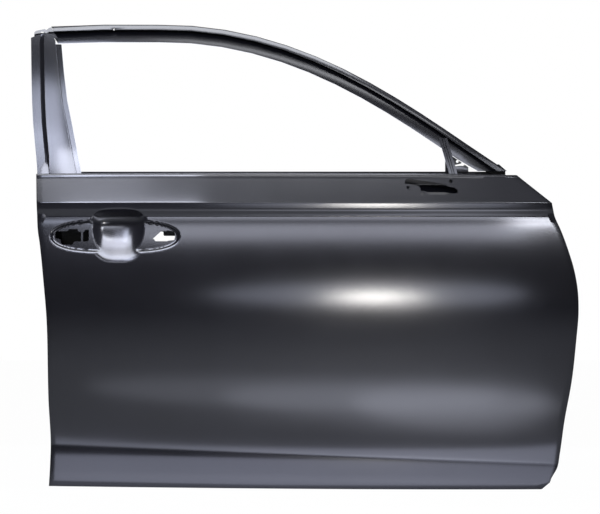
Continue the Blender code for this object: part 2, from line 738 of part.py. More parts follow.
def header_sash(finish, collection, cutters):
    """The roll-formed rail over the window: outer lip, run channel and inboard box."""
    lip, band, high = HEADER_LIP, HEADER_BAND, HEADER_HEIGHT
    section = [
        (lip, 0.0), (2.0, 0.0), (0.0, 0.06), (0.0, 0.6), (4.0, 0.95), (high - 11, 1.05), (high, 0.9),
        (high, 0.6), (high - band, 0.5), (high - band - 6, 0.55),
    ]
    stations = [0.0, 0.5] + [1 + k / 12 for k in range(13)]

    def place(t, point):
        inward, share = point
        slant = HEADER_REAR_SLANT if t == 0 else HEADER_FRONT_SLANT if t == 2 else 0.0
        x, z = header_point(min(t, 1.999), inward, slant)
        if t == 0 and inward > lip and share > 0.4:
            x -= HEADER_TUCK
        if t == 2:
            z = max(z, BELT_IN_TOP_Z + HEADER_SEAT)
        outer = sash_y(x, z)
        return x, outer + share * (sash_inner_y(x, z) - outer), z

    header = bent_sheet("header_sash", stations, section, place, FRAME_GAUGE, finish, collection)
    cut(header, [circle(*DRAIN_HOLE, count=8)], side_plane(sash_y(*DRAIN_HOLE[:2])), 60.0, cutters)
    return header


def rear_pillar_panel(finish, collection, cutters):
    """The lit outer plate of the rear pillar, with its long bead and its wall at the window."""
    top = max(z for x, z in PILLAR_TOP_EDGE)
    heights = [PILLAR_FOOT_Z, 192, 219, 250, 293, 340, 400, 465, top]
    section = [(0, 0.0, 8.0), (0, 0.0, 0.0), (0, BEAD_FROM_EDGE - 2, 0.0)]
    section += [(0, BEAD_FROM_EDGE + 1, BEAD_DEPTH), (0, BEAD_FROM_EDGE + BEAD_WIDTH - 3, BEAD_DEPTH * 0.6)]
    section += [(0, BEAD_FROM_EDGE + BEAD_WIDTH, 0.0)]
    section += [(1, -14.0, 0.0), (1, 0.0, 0.8), (1, 0.0, PILLAR_WALL)]

    def place(z, point):
        at_window, inward, depth = point
        edge = spline(PILLAR_WINDOW_EDGE, z) if at_window else spline(PILLAR_REAR_EDGE, z)
        kink = 8 * ease((225 - z) / 45) if not at_window and depth and inward else 0.0
        x = edge + inward + kink
        if z == top:
            z = straight(PILLAR_TOP_EDGE, x)
            depth = depth if at_window or inward == 0 else 0.0
        return x, sash_y(x, z) + depth, z

    return bent_sheet("rear_pillar_panel", heights, section, place, FRAME_GAUGE, finish, collection)


def rear_pillar_reinforcement(finish, collection, cutters):
    """The hat-section closing plate of the rear pillar, standing on the inner panel's belt flange."""
    heights = [PILLAR_FOOT_Z, FRAME_FOOT_Z, 219, 250, 293, 340, 400, PILLAR_TOP_Z - 2]
    step = FRAME_GAUGE + GAP
    section = [(0, 4.0, 0), (0, BEAD_FROM_EDGE - 6, 0), (0, BEAD_FROM_EDGE - 1, 1), (1, -12.0, 1)]
    section += [(1, -step, 2), (1, -step, 3)]

    def place(z, point):
        at_window, inward, level = point
        edge = spline(PILLAR_WINDOW_EDGE, z) if at_window else spline(PILLAR_REAR_EDGE, z)
        x = edge + inward
        if z <= FRAME_FOOT_Z and level > 1:
            x -= 6 * (3 - level)
            return x, sash_inner_y(x, z), z
        front = sash_y(x, z) + step + 0.2
        back = sash_inner_y(x, z)
        depth = {0: front, 1: back, 2: back - 8, 3: front + 5}[level]
        return x, depth, z

    return bent_sheet("rear_pillar_reinforcement", heights, section, place, FRAME_GAUGE, finish, collection)


def rear_sash(finish, collection, cutters):
    """The run channel beside the rear pillar, which goes on down inside the door."""
    header_foot = HEADER_REAR[0][1] - HEADER_HEIGHT
    heights = [RUN_FOOT_Z, 80, 130, 187, 219, 250, 293, 340, 400, header_foot - FRAME_GAUGE / 2 - 1]
    clear = FRAME_GAUGE + GAP
    section = [(clear, 3.0), (clear, RUN_DEPTH), (clear + RUN_WIDTH, RUN_DEPTH)]
    section.append((clear + RUN_WIDTH, RUN_DEPTH - RUN_LIP))

    def place(z, point):
        inward, depth = point
        x = spline(PILLAR_WINDOW_EDGE, z) + inward
        return x, sash_y(x, z) + depth, z

    return bent_sheet("rear_sash", heights, section, place, FRAME_GAUGE, finish, collection)


def upper_corner_bracket(finish, collection, cutters):
    """The small bracket that closes the top rear corner, with its see-through hole."""
    low = PILLAR_TOP_Z + 2 * GAP
    rows = [(0.0, 6.0), (0.45, 6.0), (0.62, 2.0), (1.0, 3.0)]
    end_clearance = 0.7 * math.hypot(1, HEADER_REAR_SLANT)

    def place(column, row):
        share, fold = row
        z = low + (straight(BRACKET_TOP_EDGE, column) - low) * share
        x = column
        if column == BRACKET_TOP_EDGE[-1][0]:
            x = HEADER_REAR[0][0] + (HEADER_REAR[0][1] - z) * HEADER_REAR_SLANT - end_clearance
        return x, sash_y(x, z) + FRAME_GAUGE + GAP + fold, z

    columns = [x for x, z in BRACKET_TOP_EDGE]
    bracket = bent_sheet("upper_corner_bracket", columns, rows, place, FRAME_GAUGE, finish, collection)
    hole = rounded([(-1113, 488.4), (-1106.5, 488.4), (-1106.5, 491.2), (-1113, 491.2)], 1.2, 2)
    cut(bracket, [hole], side_plane(sash_y(-1110, 490)), 20.0, cutters)
    return bracket


def bar_rear_x(z):
    return BAR_BELT_X + BAR_SLOPE * (FRAME_FOOT_Z - z)


BAR_DEPTH = (
    0.5 * (sash_inner_y(bar_rear_x(BAR_TOP_Z), BAR_TOP_Z) - sash_y(bar_rear_x(BAR_TOP_Z), BAR_TOP_Z))
    - FRAME_GAUGE - 2 * GAP
)


def division_bar(finish, collection, cutters):
    """The double-ribbed bar between the window and the mirror corner, with its leg inside the door."""
    heights = [BAR_FOOT_Z, 80, 130, 181, 220, BAR_TOP_Z]
    side = BAR_WIDTH
    section = [(0.0, BAR_DEPTH), (0.0, 0.0), (5.0, 0.0), (6.5, BAR_GROOVE), (side - 6.5, BAR_GROOVE)]
    section += [(side - 5, 0.0), (side, 0.0), (side, BAR_DEPTH)]

    def place(z, point):
        inward, depth = point
        x = bar_rear_x(z) + inward
        return x, sash_y(x, z) + depth, z

    return bent_sheet("division_bar", heights, section, place, FRAME_GAUGE, finish, collection)


def mirror_corner_plate(finish, collection, cutters):
    """The three-cornered plate that the mirror's inside cover fits to."""
    rear = bar_rear_x(FRAME_FOOT_Z) - 6

    def place(share, height):
        x = rear + share * CORNER_PLATE_LENGTH
        top = header_z(x, HEADER_HEIGHT + 1.5)
        levels = ((0, CORNER_PLATE_FOOT_Z), (1, FRAME_FOOT_Z), (2, top))
        z = straight(levels, height)
        return x, sash_inner_y(x, z), z

    heights = [0, 1, 1.5, 2]
    plate = bent_sheet("mirror_corner_plate", interior(5), heights, place, FRAME_GAUGE, finish, collection)
    holes = [circle(*CORNER_PLATE_HOLE, 8), rounded(CORNER_PLATE_KEYHOLE, 3, 2)]
    cut(plate, holes, side_plane(sash_inner_y(rear, 200)), 15.0, cutters)
    return plate


def front_sash_foot(finish, collection, cutters):
    """The bracket at the header's front end, on the inner panel's belt flange."""
    def place(column, share):
        x, low, high = column
        z = low + (high - low) * share
        return x, sash_inner_y(x, min(z, FRAME_FOOT_Z)), z

    shares = interior(2)
    return bent_sheet("front_sash_foot", SASH_FOOT_COLUMNS, shares, place, FRAME_GAUGE, finish, collection)


def outer_belt_reinforcement(finish, collection, cutters):
    """The pressed rail on the inside of the skin's belt flange."""
    seat = BELT_ROLL + BELT_FLANGE + (SKIN_GAUGE + FRAME_GAUGE) / 2 + GAP
    rows = [(-4, 0), (-23, 0), (-31, -7), (-40, -22), (-52, -28)]

    def place(x, row):
        drop, out = row
        share = (x - REAR_X) / (FRONT_TOP_X - REAR_X)
        edge = belt_z(share)
        return x, skin_y(x, edge - BELT_LIP) + seat + out, edge + drop

    stations = interior(9, *OUTER_RAIL_ENDS)
    return bent_sheet("outer_belt_reinforcement", stations, rows, place, FRAME_GAUGE, finish, collection)


def inner_belt_reinforcement(finish, collection, cutters):
    """The rail on the outboard side of the inner panel's belt flange."""
    seat = (INNER_GAUGE + FRAME_GAUGE) / 2 + GAP
    rows = [(BELT_IN_TOP_Z - 2, 0), (BELT_IN_TOP_Z - 19, 0), (156, -8), (134, -8), (122, None), (112, None)]

    def place(x, row):
        z, out = row
        if out is None:
            return x, inner_face_y(x, z) - seat - 0.6, z
        return x, inner_face_y(x, BELT_IN_TOP_Z) - seat + out, z

    stations = interior(8, *INNER_RAIL_ENDS)
    return bent_sheet("inner_belt_reinforcement", stations, rows, place, FRAME_GAUGE, finish, collection)


def skin_patch(name, xs, zs, off, gauge, finish, collection):
    """A sheet that lies against the inside of the skin."""

    def place(x, z):
        return x, skin_y(x, z) + off, z

    return bent_sheet(name, xs, zs, place, gauge, finish, collection)


def handle_reinforcements(finish, collection, cutters):
    """The two plates behind the handle's pads, each with a window at one end of the skin's own hole."""
    off = (SKIN_GAUGE + BRACKET_GAUGE) / 2 + GAP + HANDLE_PLATE_CLEARANCE
    rear_end = BOWL_X - BOWL_HALF_LENGTH + HANDLE_PLATE_BEHIND_BOWL
    rear_start = rear_end - REAR_PLATE_LENGTH
    left, right = rear_start + REAR_PLATE_RIM, rear_end - REAR_PLATE_RIM
    low, high = REAR_PLATE_WINDOW_Z
    rear_window = [(left, low), (right, low), (right, high), (left, high)]
    front_window = moved(FRONT_PLATE_WINDOW, FRONT_PLATE_START)
    front_end = FRONT_PLATE_START + FRONT_PLATE_LENGTH
    for name, start, end, window in (
        ("handle_rear_reinforcement", rear_start, rear_end, rear_window),
        ("handle_front_reinforcement", FRONT_PLATE_START, front_end, front_window),
    ):
        xs = interior(4, start, end)
        zs = interior(4, HANDLE_PLATE_LOW, HANDLE_PLATE_HIGH)
        plate = skin_patch(name, xs, zs, off, BRACKET_GAUGE, finish, collection)
        cut(plate, [rounded(window, 2, 2)], side_plane(skin_y(start, POCKET_Z)), 20.0, cutters)


def mirror_reinforcement(finish, collection, cutters):
    """The plate behind the mirror's cut-outs on the shoulder."""
    steep = 1.25
    off = (SKIN_GAUGE / 2 + GAP + BRACKET_GAUGE / 2) * steep
    xs, zs = (-342, -310, -280, -250, -220, -198), (127, 140, 158, 173)
    plate = skin_patch("mirror_reinforcement", xs, zs, off, BRACKET_GAUGE, finish, collection)
    holes = [MIRROR_SLOT] + [circle(x, z, radius - 1, 8) for x, z, radius in MIRROR_HOLES]
    cut(plate, holes, side_plane(-50), 40.0, cutters)
    return plate


def outer_panel_stiffener(finish, collection, cutters):
    """The light hat-section strip bonded behind the skin."""
    off = (SKIN_GAUGE + SKIN_GAUGE) / 2 + 2 * GAP
    rows = [(-19, 0), (-9, 0), (-5, 9), (5, 9), (9, 0), (19, 0)]

    def place(x, row):
        dz, crown = row
        z = STIFFENER_Z + dz
        return x, skin_y(x, z) + off + crown, z

    stations = interior(8, *STIFFENER_STRAIGHT) + list(STIFFENER_NOSE)
    return bent_sheet("outer_panel_stiffener", stations, rows, place, SKIN_GAUGE, finish, collection)


def beam_bend(k):
    """The kth bend of the impact beam, which follows the side's curve."""
    share = k / BEAM_BENDS
    x = BEAM_REAR[0] + (BEAM_FRONT[0] - BEAM_REAR[0]) * share
    z = BEAM_REAR[1] + (BEAM_FRONT[1] - BEAM_REAR[1]) * share
    off = SKIN_GAUGE / 2 + BEAM_OFF_SKIN + BEAM_RADIUS
    return Vector((x, side_y(x) + section_y(section_height(x, z)) + off, z))


def beam_centre(share):
    """Centre of the impact beam at a share of its length."""
    k = min(int(share * BEAM_BENDS), BEAM_BENDS - 1)
    return tuple(beam_bend(k).lerp(beam_bend(k + 1), share * BEAM_BENDS - k))


def impact_beam(finish, collection, cutters):
    """The steel tube across the door."""
    curve = bpy.data.curves.new("impact_beam", "CURVE")
    curve.dimensions = "3D"
    curve.bevel_depth = BEAM_RADIUS * MM
    curve.bevel_resolution = 2
    line = curve.splines.new("POLY")
    line.points.add(BEAM_BENDS)
    for k, point in enumerate(line.points):
        point.co = (*(beam_bend(k) * MM), 1.0)
    holder = bpy.data.objects.new("beam_curve", curve)
    bpy.context.scene.collection.objects.link(holder)
    bpy.context.view_layer.update()
    graph = bpy.context.evaluated_depsgraph_get()
    mesh = bpy.data.meshes.new_from_object(holder.evaluated_get(graph))
    bpy.data.objects.remove(holder, do_unlink=True)
    mesh.name = "impact_beam"
    mesh.shade_smooth()
    beam = add_object("impact_beam", mesh, finish, collection)
    wall = beam.modifiers.new("wall", "SOLIDIFY")
    wall.thickness = BEAM_WALL * MM
    wall.offset = -1.0
    return beam


def beam_bracket(name, share, wall, turn, finish, collection):
    """A saddle for one end of the beam, with a flange on the panel's wall."""
    cx, cy, cz = beam_centre(share)
    reach = BEAM_RADIUS + GAP + BRACKET_GAUGE / 2
    arc = [math.radians(a) for a in (-80, -45, 0, 45, 80)]
    section = [(-34.0, 0.0), (-22.0, 0.0)] + [(reach * math.sin(a), reach * math.cos(a)) for a in arc]
    section += [(22.0, 0.0), (34.0, 0.0)]
    rise = (BEAM_FRONT[1] - BEAM_REAR[1]) / (BEAM_FRONT[0] - BEAM_REAR[0])
    columns = [(62.0, 1.0, 0.0), (34.0, 1.0, 0.0), (13.0, 1.0, 0.0)]
    columns += [(6.0, 0.0, 4.0), (0.0, 0.0, 9.0), (0.0, 0.0, 30.0)]

    def place(column, point):
        off, saddle, fold = column
        dz, depth = point
        z = cz + rise * (wall(cz) - turn * off - cx) + dz
        x = wall(z) - turn * off
        near = (x - BEAM_REAR[0]) / (BEAM_FRONT[0] - BEAM_REAR[0])
        level = beam_centre(near)[1] if saddle else beam_centre(share)[1] + fold
        return x, level + depth * saddle + 2.0 * (1 - saddle), z

    return bent_sheet(name, columns, section, place, BRACKET_GAUGE, finish, collection)


def beam_brackets(finish, collection, cutters):
    """The saddles at the beam's front and rear ends."""
    flange = INNER_GAUGE + GAP + BRACKET_GAUGE / 2

    def front_wall(z):
        return HINGE_WALL_X - flange

    def rear_wall(z):
        return LATCH_WALL_X + straight(REAR_WALL, z) + flange

    beam_bracket("impact_beam_front_bracket", 1.0, front_wall, 1, finish, collection)
    beam_bracket("impact_beam_rear_bracket", 0.0, rear_wall, -1, finish, collection)


def hinge_reinforcements(finish, collection, cutters):
    """The thick plates behind the hinge seats."""
    x = HINGE_WALL_X - INNER_GAUGE - GAP - HINGE_GAUGE / 2
    holes = hinge_bolt_holes()
    for k, name in enumerate(("upper_hinge_reinforcement", "lower_hinge_reinforcement")):
        middle = -HINGE_SPACING * k
        outboard, inboard = HINGE_PLATE_Y
        low, high = middle - HINGE_PLATE_HALF, middle + HINGE_PLATE_HALF
        blank = rounded([(outboard + 7, low), (inboard, low), (inboard, high), (outboard, high)], 9)
        flat_plate(name, [blank] + holes[2 * k : 2 * k + 2], HINGE_GAUGE, front_plane(x), finish, collection)


def weld_nuts(finish, collection, cutters):
    """The four nuts that the hinge bolts go into."""
    x = HINGE_WALL_X - INNER_GAUGE - HINGE_GAUGE - 2 * GAP - NUT_HEIGHT / 2
    radius = NUT_ACROSS / math.sqrt(3)
    for hinge, middle in (("upper", 0.0), ("lower", -HINGE_SPACING)):
        for end, side in (("low", -1), ("high", 1)):
            z = middle + side * HINGE_BOLT_PITCH / 2
            outlines = [circle(0.0, z, radius, 6), circle(0.0, z, BOLT_HOLE_RADIUS - 1, 10)]
            flat_plate(f"{hinge}_hinge_nut_{end}", outlines, NUT_HEIGHT, front_plane(x), finish, collection)


def check_strap_reinforcement(finish, collection, cutters):
    """The plate round the check strap's slot."""
    x = HINGE_WALL_X - INNER_GAUGE - GAP - BRACKET_GAUGE / 2
    middle = -HINGE_SPACING / 2
    across, up = (half + PLATE_MARGIN for half in STRAP_SLOT)
    blank = box_outline(-across, across, middle - up, middle + up, 9)
    return flat_plate(
        "check_strap_reinforcement", [blank, strap_slot()], BRACKET_GAUGE, front_plane(x), finish, collection
    )


def latch_reinforcement(finish, collection, cutters):
    """The plate behind the latch's seat."""
    x = LATCH_WALL_X + INNER_GAUGE + GAP + BRACKET_GAUGE / 2
    outboard, inboard = LATCH_MOUTH_Y[0] - 3, LATCH_MOUTH_Y[1] + PLATE_MARGIN
    low, high = LATCH_Z - LATCH_MOUTH_HALF - 46, LATCH_Z + LATCH_MOUTH_HALF + 39
    blank = rounded([(outboard - 3, low), (inboard, low), (inboard, high), (outboard + 3, high)], 12)
    return flat_plate(
        "latch_reinforcement", [blank] + latch_holes(), BRACKET_GAUGE, front_plane(x), finish, collection
    )


def guide_bracket(name, edge_x, width, back, low, high, finish, collection):
    """A Z-shaped bracket from the back of a run channel to the inner panel's main face."""
    seat = MAIN_FACE_Y - (INNER_GAUGE + BRACKET_GAUGE) / 2 - GAP
    profile = [(0.5, 0.0), (width - 1.0, 0.0), (width, 0.12), (width, 0.88), (width + 1.0, 1.0)]
    profile.append((width + GUIDE_FOOT, 1.0))

    def place(z, point):
        across, share = point
        x = edge_x(z) + across
        front = sash_y(x, z) + back + (FRAME_GAUGE + BRACKET_GAUGE) / 2 + 2 * GAP
        return x, front + (seat - front) * share, z

    return bent_sheet(name, [low, high], profile, place, BRACKET_GAUGE, finish, collection)


def run_rear_x(z):
    return spline(PILLAR_WINDOW_EDGE, z) + FRAME_GAUGE + GAP


def glass_guide_brackets(finish, collection, cutters):
    """The brackets that hold the feet of the rear sash and the division bar."""
    low, high = RUN_FOOT_Z + 4, RUN_FOOT_Z + 36
    guide_bracket("rear_guide_bracket", run_rear_x, RUN_WIDTH, RUN_DEPTH, low, high, finish, collection)
    low, high = BAR_FOOT_Z, BAR_FOOT_Z + 28
    guide_bracket("front_guide_bracket", bar_rear_x, BAR_WIDTH, BAR_DEPTH, low, high, finish, collection)


def main():
    clear_scene()
    parts = new_collection("car_door_shell")
    cutters = new_collection("cutters")
    black = principled("satin_e_coat", (0.018, 0.019, 0.023), 0.34, 0.2)
    nut_steel = principled("plated_nut", (0.10, 0.10, 0.11), 0.4, 0.6)
    for build in (
        outer_panel, inner_panel, header_sash, rear_pillar_panel, rear_pillar_reinforcement, rear_sash,
        upper_corner_bracket, division_bar, mirror_corner_plate, front_sash_foot, outer_belt_reinforcement,
        inner_belt_reinforcement, handle_reinforcements, mirror_reinforcement, outer_panel_stiffener,
        impact_beam, beam_brackets, hinge_reinforcements, check_strap_reinforcement, latch_reinforcement,
        glass_guide_brackets,
    ):
        build(black, parts, cutters)
    weld_nuts(nut_steel, parts, cutters)


main()
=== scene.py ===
"""Studio scene of a bare front door shell in satin black e-coat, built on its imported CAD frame.

Metres in the scene; the shape's own sizes are in millimetres and named where they are used.
"""

import json
import logging
import math
from dataclasses import dataclass, field
from enum import Enum

import bmesh
import bpy
import numpy as np
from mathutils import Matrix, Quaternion, Vector

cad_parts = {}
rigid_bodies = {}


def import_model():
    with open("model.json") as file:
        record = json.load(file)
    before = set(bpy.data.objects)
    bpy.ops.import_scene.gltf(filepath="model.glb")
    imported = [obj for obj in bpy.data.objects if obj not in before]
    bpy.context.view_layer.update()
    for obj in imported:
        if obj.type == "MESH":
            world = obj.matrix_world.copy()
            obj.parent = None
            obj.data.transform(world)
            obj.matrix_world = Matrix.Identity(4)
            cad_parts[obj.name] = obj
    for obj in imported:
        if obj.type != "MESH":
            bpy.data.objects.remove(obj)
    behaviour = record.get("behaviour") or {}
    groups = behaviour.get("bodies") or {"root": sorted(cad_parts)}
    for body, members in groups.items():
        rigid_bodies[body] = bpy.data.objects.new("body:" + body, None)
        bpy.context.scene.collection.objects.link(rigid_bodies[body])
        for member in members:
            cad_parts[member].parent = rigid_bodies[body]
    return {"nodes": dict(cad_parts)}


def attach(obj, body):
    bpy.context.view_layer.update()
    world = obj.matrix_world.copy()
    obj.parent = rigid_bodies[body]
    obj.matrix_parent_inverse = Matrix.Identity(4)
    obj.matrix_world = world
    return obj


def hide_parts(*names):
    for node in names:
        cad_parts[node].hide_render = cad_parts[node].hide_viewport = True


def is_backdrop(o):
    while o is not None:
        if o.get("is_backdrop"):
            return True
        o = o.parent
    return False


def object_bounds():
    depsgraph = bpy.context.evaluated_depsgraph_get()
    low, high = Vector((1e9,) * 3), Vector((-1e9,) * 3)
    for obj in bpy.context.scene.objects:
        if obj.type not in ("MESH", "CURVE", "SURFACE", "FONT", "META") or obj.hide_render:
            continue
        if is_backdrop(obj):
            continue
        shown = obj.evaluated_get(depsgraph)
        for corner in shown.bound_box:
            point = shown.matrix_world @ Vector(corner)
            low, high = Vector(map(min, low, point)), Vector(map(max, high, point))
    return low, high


LOG = logging.getLogger("door_shell")
MM = 0.001
BODY = "root"
CORNER_RADIUS = 2.2
CUTTER_Y = -60.0
CUTTER_REACH = 60.0


class Slot(str, Enum):
    """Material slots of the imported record."""

    COAT = "satin_e_coat"
    NUT = "plated_nut"


def linear(code: str) -> tuple[float, float, float, float]:
    """Turn an sRGB hex colour into linear values.

    Args:
        code: Six hex digits, with or without a hash.

    Returns:
        Linear red, green and blue with an alpha of 1.
    """
    digits = code.lstrip("#")
    parts = [int(digits[k : k + 2], 16) / 255 for k in (0, 2, 4)]
    red, green, blue = (c / 12.92 if c <= 0.04045 else ((c + 0.055) / 1.055) ** 2.4 for c in parts)
    return red, green, blue, 1.0


def ease(t: np.ndarray) -> np.ndarray:
    """Smooth step from 0 to 1.

    Args:
        t: Values, of which those outside 0 to 1 are clipped.

    Returns:
        The eased values.
    """
    t = np.clip(t, 0.0, 1.0)
    return t * t * (3 - 2 * t)


@dataclass(frozen=True)
class Curve:
    """A curve through knots, as a pressing's edge or section is drawn."""

    knots: tuple[tuple[float, float], ...]

    def straight(self, t: np.ndarray) -> np.ndarray:
        """Values on the straight lines between the knots.

        Args:
            t: Places along the knots' first number.

        Returns:
            The values there.
        """
        return np.interp(t, [k[0] for k in self.knots], [k[1] for k in self.knots])

    def smooth(self, t: np.ndarray) -> np.ndarray:
        """Values on the smooth curve through the knots, level beyond its ends.

        Args:
            t: Places along the knots' first number.

        Returns:
            The values there.
        """
        ts = np.array([k[0] for k in self.knots], float)
        vs = np.array([k[1] for k in self.knots], float)
        steps = np.diff(vs) / np.diff(ts)
        slopes = np.concatenate([[steps[0]], (steps[1:] + steps[:-1]) / 2, [steps[-1]]])
        turns = steps[1:] * steps[:-1] <= 0
        slopes[1:-1][turns] = 0.0
        t = np.clip(np.asarray(t, float), ts[0], ts[-1])
        i = np.clip(np.searchsorted(ts, t, side="right") - 1, 0, len(ts) - 2)
        span = ts[i + 1] - ts[i]
        s = (t - ts[i]) / span
        return (
            (2 * s**3 - 3 * s**2 + 1) * vs[i]
            + (s**3 - 2 * s**2 + s) * span * slopes[i]
            + (3 * s**2 - 2 * s**3) * vs[i + 1]
            + (s**3 - s**2) * span * slopes[i + 1]
        )


@dataclass(frozen=True)
class SkinShape:
    """Sizes of the outer skin, in millimetres in the part's frame."""

    gauge: float = 0.8
    hem_pitch: float = 1.3
    hem_width: float = 10.0
    corner_relief: float = 14.0
    belt_z: float = 181.0
    belt_roll: float = 6.0
    belt_flange: float = 12.0
    belt_drop: float = 20.0
    belt_sag: float = 3.0
    belt_crown: float = 4.0
    belt_crown_start: float = 0.15
    feature_z: float = 118.0
    feature_y: float = -78.0
    crease_rear_z: float = -401.0
    crease_fall: float = 42.0
    crease_nominal_z: float = -420.0
    lower_blend_z: float = -200.0
    bottom_rear_z: float = -489.0
    bottom_fall: float = 7.0
    rear_x: float = -1117.0
    lower_rear_x: float = -1085.0
    front_x: float = 45.8
    front_top_x: float = -89.4
    plan_centre_x: float = -560.0
    plan_radius: float = 6500.0
    nose_start_x: float = -160.0
    nose_length: float = 200.0
    nose_turn: float = 9.0
    pocket_x: float = -946.0
    pocket_z: float = 46.0
    pocket_half_length: float = 140.0
    pocket_half_height: float = 36.0
    pocket_depth: float = 7.0
    pocket_wall: float = 8.0
    pocket_length_power: float = 3.2
    pocket_height_power: float = 2.2
    bowl_x: float = -939.0
    bowl_z: float = 66.0
    bowl_half_length: float = 66.0
    bowl_above: float = 43.0
    bowl_below: float = 77.0
    bowl_depth: float = 26.0
    inset: float = 0.2
    section_samples: int = 1441
    rear_edge: Curve = Curve((
        (-500, 27), (-489, 28), (-401, 32), (-305, 28), (-133, 25),
        (-47, 18), (30, 10), (60, 5.5), (118, 3), (190, 0),
    ))
    front_edge: Curve = Curve((
        (-510, 100), (-496, 78), (-487, 64), (-470, 55.5), (-451, 44.3), (-420, 38.5), (-348, 28.8),
        (-262, 13.8), (-176, 4.8), (-112, 0), (-69, 1.8), (-26, 9.3), (17, 22.1), (57, 36.6),
        (89, 50.5), (118, 57.2),
    ))
    tilt: Curve = Curve((
        (-520, -4), (-424, 5), (-416, -6), (-385, -11), (-330, -12), (-250, -9.5), (-180, -6.5),
        (-130, -3.5), (-85, 0), (-40, 3.5), (0, 7), (40, 10.5), (64, 12.5), (78, 15), (88, 12),
        (92, -31), (98, -34), (102, -31), (106, -7), (117, -4.5), (120, 33), (200, 33),
    ))

    def rear_x_at(self, z: np.ndarray) -> np.ndarray:
        """Length of the rear edge at a height.

        Args:
            z: Heights.

        Returns:
            The edge's X there.
        """
        return self.rear_x + self.rear_edge.smooth(z)

    def front_x_at(self, z: np.ndarray) -> np.ndarray:
        """Length of the front edge at a height, which slants back above the feature line.

        Args:
            z: Heights.

        Returns:
            The edge's X there.
        """
        z = np.asarray(z, float)
        corner = self.front_x - self.front_edge.knots[-1][1]
        share = (z - self.feature_z) / (self.belt_z - self.feature_z)
        above = corner + (self.front_top_x - corner) * share
        return np.where(z > self.feature_z, above, self.front_x - self.front_edge.smooth(z))

    def crease_z(self, x: np.ndarray) -> np.ndarray:
        """Height of the lower crease, which falls to the front.

        Args:
            x: Lengths.

        Returns:
            The crease's Z there.
        """
        length = self.front_x - self.lower_rear_x
        return self.crease_rear_z - self.crease_fall * (x - self.lower_rear_x) / length

    def bottom_z(self, u: np.ndarray) -> np.ndarray:
        """Height of the bottom edge.

        Args:
            u: Shares of the length, from the rear edge to the front edge.

        Returns:
            The edge's Z there.
        """
        return self.bottom_rear_z - self.bottom_fall * np.sin(u * math.pi / 2)

    def belt_edge_z(self, u: np.ndarray) -> np.ndarray:
        """Height of the belt, which is a little crowned.

        Args:
            u: Shares of the length, from the rear edge to the front edge.

        Returns:
            The belt's Z there.
        """
        start = self.belt_crown_start
        crown = np.sin(math.pi * np.minimum(1.0, start + (1 - start) * u))
        return self.belt_z - self.belt_sag + self.belt_crown * np.sqrt(np.maximum(crown, 0.0))

    def section_y(self, z: np.ndarray) -> np.ndarray:
        """Depth of the upright section, which is its tilt added up.

        Args:
            z: Nominal heights.

        Returns:
            The section's Y there.
        """
        heights = np.linspace(self.tilt.knots[0][0], self.tilt.knots[-1][0], self.section_samples)
        slopes = np.tan(np.radians(self.tilt.straight(heights)))
        run = np.concatenate([[0.0], np.cumsum((slopes[1:] + slopes[:-1]) / 2 * np.diff(heights))])
        return self.feature_y - np.interp(self.feature_z, heights, run) + np.interp(z, heights, run)

    def section_height(self, x: np.ndarray, z: np.ndarray) -> np.ndarray:
        """Nominal height of a point, so that the section's crease follows the door's.

        Args:
            x: Lengths.
            z: Heights.

        Returns:
            Heights in the nominal section.
        """
        crease = self.crease_z(x)
        share = (z - self.lower_blend_z) / (crease - self.lower_blend_z)
        blended = self.lower_blend_z + share * (self.crease_nominal_z - self.lower_blend_z)
        above = np.where(z < self.lower_blend_z, blended, z)
        return np.where(z < crease, self.crease_nominal_z + z - crease, above)

    def pocket(self, x: np.ndarray, z: np.ndarray) -> np.ndarray:
        """Depth of the handle pocket: two flat pads joined by a bowl for the fingers.

        Args:
            x: Lengths.
            z: Heights.

        Returns:
            How far the skin goes in.
        """
        off_middle = 0.001
        dx = np.abs(x - self.pocket_x) + off_middle
        dz = np.abs(z - self.pocket_z) + off_middle
        across = (dx / self.pocket_half_length) ** self.pocket_length_power
        upright = (dz / self.pocket_half_height) ** self.pocket_height_power
        steepness = np.hypot(self.pocket_length_power * across / dx, self.pocket_height_power * upright / dz)
        pads = self.pocket_depth * ease((1 - across - upright) / steepness / self.pocket_wall)
        half_height = np.where(z > self.bowl_z, self.bowl_above, self.bowl_below)
        along = np.abs((x - self.bowl_x) / self.bowl_half_length)
        reach = along**3 + ((z - self.bowl_z) / half_height) ** 2
        bowl = self.bowl_depth * np.maximum(0.0, 1 - reach) ** 2 * (1 + reach)
        return np.maximum(pads, bowl)

    def skin_y(self, x: np.ndarray, z: np.ndarray) -> np.ndarray:
        """Depth of the middle of the sheet.

        Args:
            x: Lengths.
            z: Heights.

        Returns:
            The sheet's Y there.
        """
        nose = np.maximum(0.0, (x - self.nose_start_x) / self.nose_length)
        plan = (x - self.plan_centre_x) ** 2 / (2 * self.plan_radius) + self.nose_turn * nose**2
        return plan + self.section_y(self.section_height(x, z)) + self.pocket(x, z) + self.inset


def arc(start: float, stop: float, steps: int) -> np.ndarray:
    """Angles of an arc in radians.

    Args:
        start: First angle in degrees.
        stop: Last angle in degrees.
        steps: How many pieces the arc has.

    Returns:
        The angles, ends included.
    """
    return np.radians(np.linspace(start, stop, steps + 1))


def blended_steps(stops: list[tuple[float, float]]) -> list[float]:
    """Grid lines between stops, each stretch with its own spacing.

    Args:
        stops: Place of each stop with the spacing of the stretch after it.

    Returns:
        Every line's place.
    """
    lines: list[float] = []
    for (start, spacing), (end, _) in zip(stops, stops[1:]):
        count = max(1, round((end - start) / spacing))
        lines += [start + (end - start) * k / count for k in range(count)]
    return lines + [stops[-1][0]]


